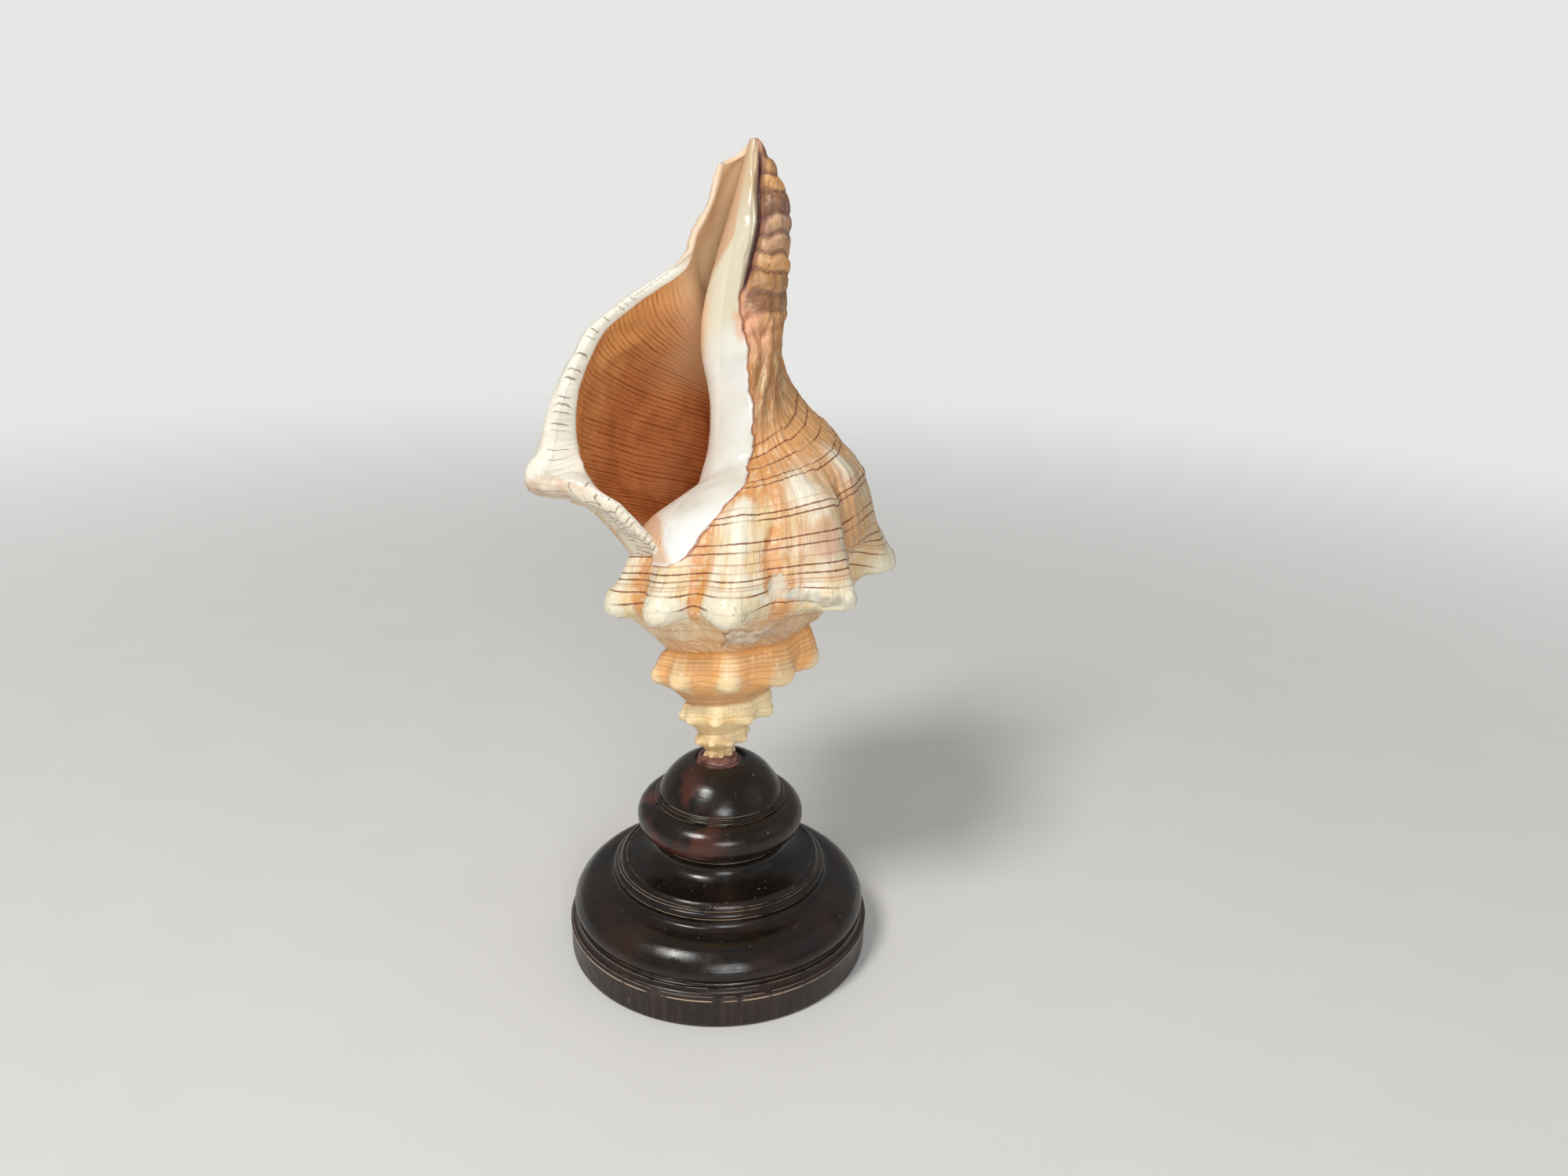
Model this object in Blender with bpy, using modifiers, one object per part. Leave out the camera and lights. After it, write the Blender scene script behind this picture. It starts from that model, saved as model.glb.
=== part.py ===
"""Horse conch shell standing apex down on a turned, ebonised wooden stand.

Metres, +Z up. The origin is the middle of the stand's underside, and the shell's
aperture opens toward -Y with its outer lip at -X.
"""
import bpy
import bmesh
import math
import numpy as np

# ---------------------------------------------------------------- the stand
LATHE_STEPS = 48
MERGE = 0.00005
# (radius, height) from the socket in the dome's top, down the outer side, to the underside
STAND_PROFILE = [
    (0.0063, 0.0492), (0.0066, 0.0508), (0.0091, 0.0499), (0.0118, 0.0479),
    (0.0139, 0.0453), (0.0152, 0.0424), (0.0162, 0.0417), (0.0164, 0.0409),
    (0.0186, 0.0400), (0.0202, 0.0383), (0.0207, 0.0362), (0.0202, 0.0340),
    (0.0184, 0.0322), (0.0160, 0.0304), (0.0162, 0.0282), (0.0178, 0.0263),
    (0.0205, 0.0251), (0.0243, 0.0249), (0.0256, 0.0234), (0.0266, 0.0221),
    (0.0284, 0.0206), (0.0312, 0.0201), (0.0340, 0.0186), (0.0361, 0.0161),
    (0.0369, 0.0134), (0.0359, 0.0105), (0.0368, 0.0094), (0.0380, 0.0081),
    (0.0379, 0.0008), (0.0372, 0.0000),
]

# ------------------------------------------------------- the bead of resin
SEAT_STEPS = 28
SEAT_AT = (-0.0010, 0.00075, 0.0)
# (radius, height) down the outer side, then back up inside the hole
SEAT_PROFILE = [
    (0.0039, 0.0513), (0.0044, 0.0511), (0.00465, 0.0506), (0.0047, 0.0500),
    (0.00475, 0.0495), (0.0028, 0.04965), (0.0031, 0.0502), (0.0035, 0.0508),
]

# ---------------------------------------------------------------- the shell
# lengths of the shell are in millimetres about its own axis, apex at height 0
MM = 0.001
TURN = 2 * math.pi
APEX = (-1.4, 0.0, 46.2)
LEAN_X = math.radians(4.4)
LEAN_Y = math.radians(8.9)
LIP_AZIMUTH = math.radians(190)
WHORL_RATIO = 1.713
GROWTH = math.log(WHORL_RATIO) / TURN
WHORLS = 5
STEPS = 40
# rows of the whorl's section: suture, sunken ramp, shoulder, wall, base, canal
WHORL_ROWS = [0.0, 0.9, 1.7, 2.5, 3.3, 4.0, 4.8, 5.9, 7.0]
BODY_ROWS = [7.7, 8.7, 9.7, 10.7, 11.6, 12.3, 13.0, 14.0, 15.0, 16.0, 17.0, 18.0, 18.6, 19.0]
CANAL_ROW = 13.0
LAST_SPIRAL_POINT = 12
LAST_POINT = 19
# section of the last whorl at the lip, (radius, height)
SECTION = [
    (24.5, 54.0), (29.0, 57.8), (34.9, 63.0), (40.0, 67.4), (43.5, 73.0),
    (44.4, 79.0), (43.7, 85.6), (42.0, 92.5), (39.7, 99.6), (36.3, 106.4),
    (30.0, 112.0), (23.4, 116.8), (18.0, 120.8),
]
# the neck and siphonal canal, by degrees behind the lip: (radius, height)
CANAL = {
    0: [(16.2, 125.4), (15.2, 129.2), (13.2, 132.8), (11.5, 136.4),
        (10.4, 139.8), (9.6, 142.8), (9.0, 145.2)],
    -60: [(17.2, 116.5), (15.6, 122.5), (14.0, 129.0), (12.4, 135.5),
          (10.2, 142.0), (6.0, 148.2), (1.4, 151.6)],
    -90: [(15.4, 111.0), (13.6, 117.0), (12.2, 124.0), (10.6, 131.0),
          (8.6, 138.4), (5.4, 145.6), (1.2, 151.6)],
    -180: [(9.0, 97.2), (7.1, 102.0), (6.3, 109.0), (6.6, 118.0),
           (7.2, 129.0), (6.6, 139.5), (1.2, 151.0)],
    -270: [(10.6, 85.4), (9.4, 91.4), (9.2, 100.0), (8.8, 110.0),
           (7.6, 123.0), (6.0, 138.0), (1.2, 151.0)],
    -360: [(9.0, 75.6), (8.0, 82.4), (8.9, 93.0), (12.0, 105.0),
           (11.0, 118.0), (6.2, 135.0), (1.2, 151.2)],
    -420: [(8.6, 80.0), (7.6, 88.0), (7.4, 99.0), (7.6, 110.0),
           (7.0, 122.0), (4.8, 137.0), (1.2, 150.4)],
    -460: [(8.0, 86.0), (7.0, 94.0), (6.2, 104.0), (5.8, 114.0),
           (5.4, 126.0), (3.8, 138.5), (1.4, 148.6)],
    -510: [(7.2, 91.0), (5.8, 98.0), (4.8, 107.0), (4.4, 117.0),
           (4.2, 129.0), (3.2, 140.0), (1.4, 147.6)],
    -690: [(6.8, 76.0), (5.8, 98.0), (4.8, 107.0), (4.4, 117.0),
           (4.2, 129.0), (3.2, 140.0), (1.4, 147.6)],
}
# the canal bends toward the lip above this height
BEND_START = 104.0
BEND_SPAN = 47.0
BEND = (-3.4, 0.0)
# knobs, by degrees behind the lip
KNOBS = [60, -4, -58, -115, -173, -235, -282, -311, -350]
KNOB_STEP = 41
KNOB_SIZES = [1.0, 1.05, 0.9, 0.95, 1.2, 0.92, 1.05, 1.05, 0.85]
LATER_KNOB_SIZE = 0.8
KNOB_HEIGHT = 7.0
KNOB_ROWS = [3.4, 3.4, 3.6, 3.75, 4.05, 3.85, 3.65, 3.65, 3.65]
LATER_KNOB_ROW = 3.6
KNOB_WAY = (0.97, -0.24)
KNOB_EDGE = 2.0
# how far a knob reaches below and above its middle, in rows
KNOB_BELOW = 0.46
KNOB_ABOVE = 1.3
# an old lip, left as a step: the shell after it starts lower, most of all at the shoulder
STEP_AT = -229
STEP_FADE = 48
STEP_DEPTH = 8.0
STEP_ROW = 4.35
STEP_WALL = 1.1
# the ramp under that lip is hollowed
UNDERCUT = 2.6
UNDERCUT_FROM = -264
FLARE_ROWS = [0, 1, 2, 3, 4, 6, 9, 10, 11, 12, 13]
LIP_FLARE = [0, -1.0, -1.8, -0.6, 0, 0.8, 1.3, 2.0, 3.0, 3.2, 0.3]
FOLD_HEIGHT = 2.4
FOLD_ROW = 5.6
FOLD_SPAN = 2.5
# how far the lip runs ahead of the section, by row
LIP_ROWS = [0, 1, 2, 3, 4, 5, 7, 12, 19]
LIP_AHEAD = [38, 34, 26, 13, 4, 1, 3, 5, 6]
SEAM_AHEAD = math.radians(38)
# the hollow
HOLLOW_STEPS = 33
CANAL_OPEN = 6
CANAL_CLOSED = 17
WALL = 3.0
RIM = 0.9
CANAL_WALL = 1.4
TIP = (-3.4, 0.0, 152.0)


def smooth(a, b, x):
    t = np.clip((np.asarray(x, float) - a) / (b - a), 0, 1)
    return t * t * (3 - 2 * t)


CANAL_KEYS = np.radians(sorted(CANAL))
CANAL_TABLE = np.array([CANAL[k] for k in sorted(CANAL)], float)


def key_slopes(x, y):
    """Slopes through uneven keys, level at both ends."""
    gap = np.diff(x)[:, None, None]
    d = np.diff(y, axis=0) / gap
    m = np.zeros_like(y)
    m[1:-1] = (d[1:] * gap[:-1] + d[:-1] * gap[1:]) / (gap[1:] + gap[:-1])
    return m


CANAL_SLOPES = key_slopes(CANAL_KEYS, CANAL_TABLE)


def canal_control(theta, m):
    t = np.clip(theta, CANAL_KEYS[0], CANAL_KEYS[-1])
    i = np.clip(np.searchsorted(CANAL_KEYS, t, side="right") - 1, 0, len(CANAL_KEYS) - 2)
    h = CANAL_KEYS[i + 1] - CANAL_KEYS[i]
    u = ((t - CANAL_KEYS[i]) / h)[..., None]
    h = h[..., None]
    p0 = CANAL_TABLE[i, m]
    p1 = CANAL_TABLE[i + 1, m]
    m0 = CANAL_SLOPES[i, m] * h
    m1 = CANAL_SLOPES[i + 1, m] * h
    a = 2 * u**3 - 3 * u**2 + 1
    b = u**3 - 2 * u**2 + u
    return a * p0 + b * m0 + (1 - a) * p1 + (u**3 - u**2) * m1


def control(theta, m):
    """Control point m of the section at spiral angle theta."""
    m = np.clip(m, 0, LAST_POINT)
    rows = np.array(SECTION)[np.clip(m, 0, LAST_SPIRAL_POINT)]
    spiral = rows * np.exp(GROWTH * theta)[..., None]
    first = LAST_SPIRAL_POINT + 1
    canal = canal_control(theta, np.clip(m - first, 0, LAST_POINT - first))
    return np.where((m <= LAST_SPIRAL_POINT)[..., None], spiral, canal)


def section(theta, s):
    """(radius, height) on the smooth section curve."""
    m = np.clip(np.floor(s).astype(int), 0, LAST_POINT - 1)
    u = (s - m)[..., None]
    p0 = control(theta, m - 1)
    p1 = control(theta, m)
    p2 = control(theta, m + 1)
    p3 = control(theta, m + 2)
    p0 = np.where((m == 0)[..., None], 2 * p1 - p2, p0)
    p3 = np.where((m == LAST_POINT - 1)[..., None], 2 * p2 - p1, p3)
    a = 2 * p0 - 5 * p1 + 4 * p2 - p3
    b = 3 * p1 - p0 - 3 * p2 + p3
    return 0.5 * (2 * p1 + (p2 - p0) * u + a * u**2 + b * u**3)


def knob_wave(theta):
    """1 on a knob, 0 midway between two; with the nearby knob's size and row."""
    step = [KNOBS[-1] - KNOB_STEP * n for n in range(1, 50)]
    order = np.radians((KNOBS + step)[::-1])
    sizes = np.array((KNOB_SIZES + [LATER_KNOB_SIZE] * len(step))[::-1])
    rows = np.array((KNOB_ROWS + [LATER_KNOB_ROW] * len(step))[::-1])
    i = np.clip(np.searchsorted(order, theta) - 1, 0, len(order) - 2)
    u = (theta - order[i]) / (order[i + 1] - order[i])
    near = smooth(0, 1, u)
    size = sizes[i] * (1 - near) + sizes[i + 1] * near
    row = rows[i] * (1 - near) + rows[i + 1] * near
    return 0.5 + 0.5 * np.cos(TURN * u), size, row


def old_lip(theta, s):
    """How far the shell is drawn in after the old lip, and under it."""
    deg = np.degrees(theta)
    after = smooth(STEP_AT - 3, STEP_AT + 5, deg) * (1 - smooth(STEP_AT + 26, STEP_AT + STEP_FADE, deg))
    side = np.exp(-((s - STEP_ROW) / 1.0) ** 2) * STEP_DEPTH
    side = side + np.exp(-((s - 7.2) / 2.6) ** 2) * STEP_WALL
    under = smooth(UNDERCUT_FROM, STEP_AT - 12, deg) * (1 - smooth(STEP_AT + 10, STEP_AT + STEP_FADE, deg))
    return after * side + under * UNDERCUT * np.exp(-((s - 2.3) / 0.75) ** 2)


def whorl_push(theta, s):
    wave, big, row = knob_wave(theta)
    width = np.where(s < row, KNOB_BELOW, KNOB_ABOVE)
    knob = wave**KNOB_EDGE * np.exp(-((s - row) / width) ** 2)
    fold = wave**1.3 * np.exp(-((s - FOLD_ROW) / FOLD_SPAN) ** 2)
    flare = smooth(-0.7, 0.05, theta) * np.interp(s, FLARE_ROWS, LIP_FLARE)
    size = big * np.exp(GROWTH * theta) * smooth(0, 1, s)
    return size * (KNOB_HEIGHT * knob + FOLD_HEIGHT * fold) + flare


def push(theta, s):
    """How far knobs and folds stand out; the suture follows the whorl below."""
    below = whorl_push(theta - TURN, np.full_like(s, 7.0)) * (1 - smooth(0, 1.5, s))
    return whorl_push(theta, s) + below


def surface(theta, s, knobs=1.0):
    theta, s = np.broadcast_arrays(np.asarray(theta, float), np.asarray(s, float))
    out = knobs * push(theta, s) - old_lip(theta, s)
    rz = section(theta, s) + out[..., None] * np.array(KNOB_WAY)
    t = np.clip((rz[..., 1] - BEND_START) / BEND_SPAN, 0, 1.2) ** 2
    az = theta + LIP_AZIMUTH
    x = BEND[0] * t + rz[..., 0] * np.cos(az)
    y = BEND[1] * t + rz[..., 0] * np.sin(az)
    return np.stack([x, y, rz[..., 1]], -1)


def outward(theta, s, knobs):
    du = surface(theta + 0.01, s, knobs) - surface(theta - 0.01, s, knobs)
    hi = np.minimum(s + 0.05, LAST_POINT)
    lo = np.maximum(s - 0.05, 0)
    ds = surface(theta, hi, knobs) - surface(theta, lo, knobs)
    n = np.cross(du, ds)
    return n / np.maximum(np.linalg.norm(n, axis=-1, keepdims=True), 1e-9)


def ahead(theta, s):
    """The lip is slanted, so rows run ahead of the section near it."""
    lip = smooth(-1.5, 0, theta) * np.interp(s, LIP_ROWS, np.radians(LIP_AHEAD))
    back = theta + TURN
    seam = np.where(back <= 0, smooth(-1.5, 0, back), 1 - smooth(0, 2.1, back))
    return lip + seam * SEAM_AHEAD * smooth(3, 7, s)


def shell_mesh():
    """Vertices (mm, shell frame) and faces of the closed shell."""
    n = STEPS
    end = WHORLS * n
    seam = end - n
    rows = WHORL_ROWS + BODY_ROWS
    jn = len(WHORL_ROWS) - 1
    kn = len(BODY_ROWS)
    canal = rows.index(CANAL_ROW)
    verts = []
    faces = []

    def add(points):
        start = len(verts)
        verts.extend(points.tolist())
        return list(range(start, len(verts)))

    def sheared(i, s, knobs=1.0):
        theta = -WHORLS * TURN + i * TURN / n
        s = np.array(s, float)
        th = np.full_like(s, theta)
        th = th + ahead(th, s)
        return th, surface(th, s, knobs)

    # outer surface: the helical band, each column's last row being the next suture
    outer = []
    for i in range(end + 1):
        if i < n:
            first = None
        else:
            first = outer[i - n][jn]
        s = rows if i >= seam else WHORL_ROWS
        pts = sheared(i, s)[1]
        if first is None:
            outer.append(add(pts))
        else:
            outer.append([first] + add(pts[1:]))
    top = jn + kn

    def strip(a, b, lo, hi):
        for j in range(lo, hi):
            faces.append([a[j], b[j], b[j + 1], a[j + 1]])

    for i in range(end):
        strip(outer[i], outer[i + 1], 0, jn if i < seam else top)
    # blunt start of the first whorl
    loop = outer[0][: jn + 1] + [outer[i][0] for i in range(n - 1, 0, -1)]
    low = np.array([verts[v] for v in loop]).mean(axis=0)
    low[2] -= 0.6
    cap = add(low[None, :])[0]
    for a, b in zip(loop, loop[1:] + loop[:1]):
        faces.append([a, cap, b])

    # inner lining: the outside of the whorl before, carried on into the hollow
    start = end - HOLLOW_STEPS
    opened = end - CANAL_OPEN
    closed = end - CANAL_CLOSED
    lining = {end: outer[seam][jn:]}
    for i in range(start, end):
        stop = kn if i >= closed else canal - jn
        s = rows[jn + 1: jn + 1 + stop]
        lining[i] = [None] + add(sheared(i - n, s)[1])
    # inner face of the wall
    wall = {}
    for i in range(start, end + 1):
        stop = top if i >= closed else canal
        s = np.array(rows[1: stop + 1])
        th, pts = sheared(i, s, 0.3)
        depth = (end - i) * TURN / n
        full = WALL * math.exp(0.6 * GROWTH * (-depth))
        thick = full + (CANAL_WALL - full) * smooth(11, 14, s)
        thick = RIM + (thick - RIM) * smooth(0, 0.15, depth)
        if i == end:
            pts = surface(th, s)
        nrm = outward(th, s, 0.3)
        inner = pts - nrm * thick[:, None]
        wall[i] = [lining[i][1]] + add(inner)
        if closed <= i <= opened:
            wall[i][-1] = lining[i][-1]
    for i in range(start, end):
        rows_in = kn if i >= closed else canal - jn
        strip(lining[i + 1], lining[i], 1, rows_in)
        strip(wall[i + 1], wall[i], 0, top if i >= closed else canal)
    # the lip's edge and the open end of the canal
    for j in range(top):
        faces.append([outer[end][j], wall[end][j], wall[end][j + 1], outer[end][j + 1]])
    for i in range(opened, end):
        faces.append([outer[i][top], outer[i + 1][top], wall[i + 1][top], wall[i][top]])
    # the canal's blind side, the hollow's ceiling and its far end
    for j in range(canal, top):
        face = [wall[closed][j], wall[closed][j + 1], lining[closed][j + 1 - jn], lining[closed][j - jn]]
        faces.append(list(dict.fromkeys(face)))
    for i in range(start, closed):
        k = canal - jn
        faces.append([wall[i][canal], wall[i + 1][canal], lining[i + 1][k], lining[i][k]])
    loop = wall[start][: canal + 1] + lining[start][canal - jn:1:-1]
    mid = add(np.array([verts[v] for v in loop]).mean(axis=0)[None, :])[0]
    for a, b in zip(loop, loop[1:] + loop[:1]):
        faces.append([a, b, mid])
    # the tip of the columella
    loop = [outer[i][top] for i in range(seam, opened + 1)]
    loop += [lining[i][-1] for i in range(opened, end)]
    tip = add(np.array(TIP)[None, :])[0]
    for a, b in zip(loop, loop[1:] + loop[:1]):
        faces.append([a, b, tip])
    return np.array(verts), faces


def to_world(p):
    """Shell frame (mm) to the stand's frame (m): the shell leans a little."""
    w = np.array([math.sin(LEAN_X), math.sin(LEAN_Y), 1.0])
    w /= np.linalg.norm(w)
    x = np.array([1.0, 0, 0]) - w * w[0]
    x /= np.linalg.norm(x)
    axes = np.stack([x, np.cross(w, x), w], 1)
    return (p @ axes.T + np.array(APEX)) * MM


def material(name, color, rough, metal=0.0):
    mat = bpy.data.materials.new(name)
    mat.use_nodes = True
    shader = mat.node_tree.nodes["Principled BSDF"]
    shader.inputs["Base Color"].default_value = (*color, 1.0)
    shader.inputs["Roughness"].default_value = rough
    shader.inputs["Metallic"].default_value = metal
    return mat


def finish(name, mesh, mat, home):
    bm = bmesh.new()
    bm.from_mesh(mesh)
    bmesh.ops.recalc_face_normals(bm, faces=bm.faces)
    if bm.calc_volume(signed=True) < 0:
        bmesh.ops.reverse_faces(bm, faces=bm.faces)
    bm.to_mesh(mesh)
    bm.free()
    mesh.materials.append(mat)
    mesh.shade_smooth()
    obj = bpy.data.objects.new(name, mesh)
    home.objects.link(obj)
    return obj


def turned(name, profile, steps, mat, home, closed):
    """A lathe-turned piece: the profile swept round +Z with a Screw modifier."""
    mesh = bpy.data.meshes.new(name)
    pts = [(r, 0.0, z) for r, z in profile]
    if not closed:
        pts = [(0.0, 0.0, profile[0][1])] + pts + [(0.0, 0.0, profile[-1][1])]
    edges = [(i, i + 1) for i in range(len(pts) - 1)]
    if closed:
        edges.append((len(pts) - 1, 0))
    mesh.from_pydata(pts, edges, [])
    mesh.materials.append(mat)
    obj = bpy.data.objects.new(name, mesh)
    home.objects.link(obj)
    screw = obj.modifiers.new("Turn", "SCREW")
    screw.steps = steps
    screw.render_steps = steps
    screw.use_merge_vertices = True
    screw.merge_threshold = MERGE
    screw.use_normal_calculate = True
    screw.use_normal_flip = closed
    screw.use_smooth_shade = True
    return obj


for old in list(bpy.data.objects):
    bpy.data.objects.remove(old)
home = bpy.data.collections.new("horse_conch")
bpy.context.scene.collection.children.link(home)

shell_paint = material("shell_cream", (0.74, 0.52, 0.34), 0.38)
wood_black = material("ebonised_wood", (0.022, 0.010, 0.008), 0.22)
resin = material("seat_resin", (0.16, 0.05, 0.035), 0.2)

stand = turned("stand", STAND_PROFILE, LATHE_STEPS, wood_black, home, False)
seat = turned("seat", SEAT_PROFILE, SEAT_STEPS, resin, home, True)
seat.location = SEAT_AT
points, polys = shell_mesh()
shell_data = bpy.data.meshes.new("shell")
shell_data.from_pydata(to_world(points).tolist(), [], polys)
shell = finish("shell", shell_data, shell_paint, home)
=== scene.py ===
"""Dresses the horse conch shell, its turned stand and the resin seat."""
import math
import bpy
import numpy as np
from mathutils import Matrix, Vector, noise


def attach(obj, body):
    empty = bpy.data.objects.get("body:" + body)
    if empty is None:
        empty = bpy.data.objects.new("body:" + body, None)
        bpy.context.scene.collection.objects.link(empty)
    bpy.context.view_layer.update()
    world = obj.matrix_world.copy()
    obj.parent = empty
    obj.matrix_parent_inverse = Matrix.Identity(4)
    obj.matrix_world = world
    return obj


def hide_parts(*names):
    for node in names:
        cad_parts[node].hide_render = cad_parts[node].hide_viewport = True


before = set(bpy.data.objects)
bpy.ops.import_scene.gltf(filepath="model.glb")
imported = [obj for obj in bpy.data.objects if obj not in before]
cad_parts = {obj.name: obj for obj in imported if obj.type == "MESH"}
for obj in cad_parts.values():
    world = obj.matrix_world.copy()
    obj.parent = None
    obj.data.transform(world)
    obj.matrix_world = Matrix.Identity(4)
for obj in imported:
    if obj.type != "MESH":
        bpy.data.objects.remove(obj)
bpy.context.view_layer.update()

TURN = 2 * math.pi
MM = 0.001
# Everywhere below, th is the spiral angle: 0 at the lip and a turn less for each whorl before.
# s is the row on the whorl's section: 0 at its suture, 7 at the next, 12 at the neck and 19 at
# the canal's tip. The shell and the stand are in mm, and lights, camera and floor in metres.

# ---------- the shell's form
APEX = (-1.4, 0, 46.2)
LEAN_X = math.radians(4.4)
LEAN_Y = math.radians(8.9)
LIP_AZIMUTH = math.radians(190)
GROWTH = math.log(1.713) / TURN
LAST_SPIRAL_POINT = 12
LAST_POINT = 19
# the whorl's section at the lip as (radius, height): rows 0 to 12, which shrink with the spiral
SECTION = [
    (24.5, 54), (29, 57.8), (34.9, 63), (40, 67.4), (43.5, 73),
    (44.4, 79), (43.7, 85.6), (42, 92.5), (39.7, 99.6), (36.3, 106.4),
    (30, 112), (23.4, 116.8), (18, 120.8),
]
# and rows 13 to 19, given at these angles (degrees)
CANAL = {
    0: [(16.2, 125.4), (15.2, 129.2), (13.2, 132.8), (11.5, 136.4),
        (10.4, 139.8), (9.6, 142.8), (9, 145.2)],
    -60: [(17.2, 116.5), (15.6, 122.5), (14, 129), (12.4, 135.5),
          (10.2, 142), (6, 148.2), (1.4, 151.6)],
    -90: [(15.4, 111), (13.6, 117), (12.2, 124), (10.6, 131),
          (8.6, 138.4), (5.4, 145.6), (1.2, 151.6)],
    -180: [(9, 97.2), (7.1, 102), (6.3, 109), (6.6, 118),
           (7.2, 129), (6.6, 139.5), (1.2, 151)],
    -270: [(10.6, 85.4), (9.4, 91.4), (9.2, 100), (8.8, 110),
           (7.6, 123), (6, 138), (1.2, 151)],
    -360: [(9, 75.6), (8, 82.4), (8.9, 93), (12, 105),
           (11, 118), (6.2, 135), (1.2, 151.2)],
    -420: [(8.6, 80), (7.6, 88), (7.4, 99), (7.6, 110),
           (7, 122), (4.8, 137), (1.2, 150.4)],
    -460: [(8, 86), (7, 94), (6.2, 104), (5.8, 114),
           (5.4, 126), (3.8, 138.5), (1.4, 148.6)],
    -510: [(7.2, 91), (5.8, 98), (4.8, 107), (4.4, 117),
           (4.2, 129), (3.2, 140), (1.4, 147.6)],
    -690: [(6.8, 76), (5.8, 98), (4.8, 107), (4.4, 117),
           (4.2, 129), (3.2, 140), (1.4, 147.6)],
}
BEND_START = 104
BEND_SPAN = 47
BEND = -3.4
# the last whorl's knobs: where (degrees), how large, on which row
KNOBS = [60, -4, -58, -115, -173, -235, -282, -311, -350]
KNOB_SIZES = [1, 1.05, 0.9, 0.95, 1.2, 0.92, 1.05, 1.05, 0.85]
KNOB_ROWS = [3.4, 3.4, 3.6, 3.75, 4.05, 3.85, 3.65, 3.65, 3.65]
KNOB_STEP = 41
KNOB_HEIGHT = 7
KNOB_WAY = (0.97, -0.24)     # which way they push, as (radius, height)
KNOB_EDGE = 2
# how far a knob reaches below and above its middle, in rows
KNOB_BELOW = 0.46
KNOB_ABOVE = 1.3
# by row: how far the lip turns out (mm), and how far it grew ahead (degrees)
LIP_FLARE = {0: 0, 1: -1, 2: -1.8, 3: -0.6, 4: 0, 6: 0.8, 9: 1.3, 10: 2, 11: 3, 12: 3.2, 13: 0.3}
LIP_AHEAD = {0: 38, 1: 34, 2: 26, 3: 13, 4: 4, 5: 1, 7: 3, 12: 5, 19: 6}
SEAM_AHEAD = math.radians(38)
FOLD_HEIGHT = 2.4
FOLD_ROW = 5.6
FOLD_SPAN = 2.5
# the old lip: where the shell steps down after it (degrees), how far on that fades, how deep it is
# (mm) and on which row, and how deep the hollow under it is and where that begins
STEP_AT = -229
STEP_FADE = 48
STEP_DEPTH = 8
STEP_ROW = 4.35
STEP_WALL = 1.1
UNDERCUT = 2.6
UNDERCUT_FROM = -264

# ---------- the fine mesh
WHORLS = 5
STEPS = 220
WHORL_CUTS = [6, 7, 7, 9, 7, 6, 6]      # steps between the whole rows 0 to 7
BODY_CUTS = [6, 6, 7, 7, 7, 8, 9, 13, 15, 18, 20, 16]      # and between 7 and 19
SPIRE_EVERY = 2
# degrees behind the lip at which: the lip's own columns begin, the canal's tip is no longer
# open, the steps grow coarse, the canal is closed off, and the hollow ends
LIP_DEG = 9
OPEN_DEG = 54
FINE_DEG = 90
SHUT_DEG = 153
HOLLOW_DEG = 200


def smooth(a, b, x):
    """0 before a and 1 past b, eased between them; a may be the larger."""
    t = np.clip((np.asarray(x, float) - a) / (b - a), 0, 1)
    return t * t * (3 - 2 * t)


def span(x, a, b, c, d):
    """Rises from a to b and falls again from c to d."""
    return smooth(a, b, x) * smooth(d, c, x)


def bell(x, wide):
    return np.exp(-(x / wide) ** 2)


def unit(v):
    return v / np.maximum(np.linalg.norm(v, axis=-1, keepdims=True), 1e-9)


def index_of(x, values):
    """Where the value nearest to x stands."""
    return int(np.argmin(np.abs(values - x)))


def look_up(table, x):
    """The table's value at x, which runs straight between its entries."""
    return np.interp(x, list(table), list(table.values()))


CANAL_KEYS = np.radians(sorted(CANAL))
CANAL_TABLE = np.array([CANAL[k] for k in sorted(CANAL)], float)


def key_slopes(x, y):
    gap = np.diff(x)[:, None, None]
    d = np.diff(y, axis=0) / gap
    m = np.zeros_like(y)
    m[1:-1] = (d[1:] * gap[:-1] + d[:-1] * gap[1:]) / (gap[1:] + gap[:-1])
    return m


CANAL_SLOPES = key_slopes(CANAL_KEYS, CANAL_TABLE)


def canal_control(th, m):
    t = np.clip(th, CANAL_KEYS[0], CANAL_KEYS[-1])
    i = np.clip(np.searchsorted(CANAL_KEYS, t, side="right") - 1, 0, len(CANAL_KEYS) - 2)
    h = CANAL_KEYS[i + 1] - CANAL_KEYS[i]
    u = ((t - CANAL_KEYS[i]) / h)[..., None]
    h = h[..., None]
    a = 2 * u**3 - 3 * u**2 + 1
    p = a * CANAL_TABLE[i, m] + (1 - a) * CANAL_TABLE[i + 1, m]
    p += (u**3 - 2 * u**2 + u) * h * CANAL_SLOPES[i, m]
    return p + (u**3 - u**2) * h * CANAL_SLOPES[i + 1, m]


def control(th, m):
    """Control point m of the whorl's section at spiral angle th."""
    m = np.clip(m, 0, LAST_POINT)
    rows = np.array(SECTION)[np.clip(m, 0, LAST_SPIRAL_POINT)]
    spiral = rows * np.exp(GROWTH * th)[..., None]
    first = LAST_SPIRAL_POINT + 1
    canal = canal_control(th, np.clip(m - first, 0, LAST_POINT - first))
    return np.where((m <= LAST_SPIRAL_POINT)[..., None], spiral, canal)


def eased(p0, p1, p2, p3, u):
    """A Catmull-Rom curve from p1 to p2."""
    a = 2 * p0 - 5 * p1 + 4 * p2 - p3
    b = 3 * p1 - p0 - 3 * p2 + p3
    return 0.5 * (2 * p1 + (p2 - p0) * u + a * u**2 + b * u**3)


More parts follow.
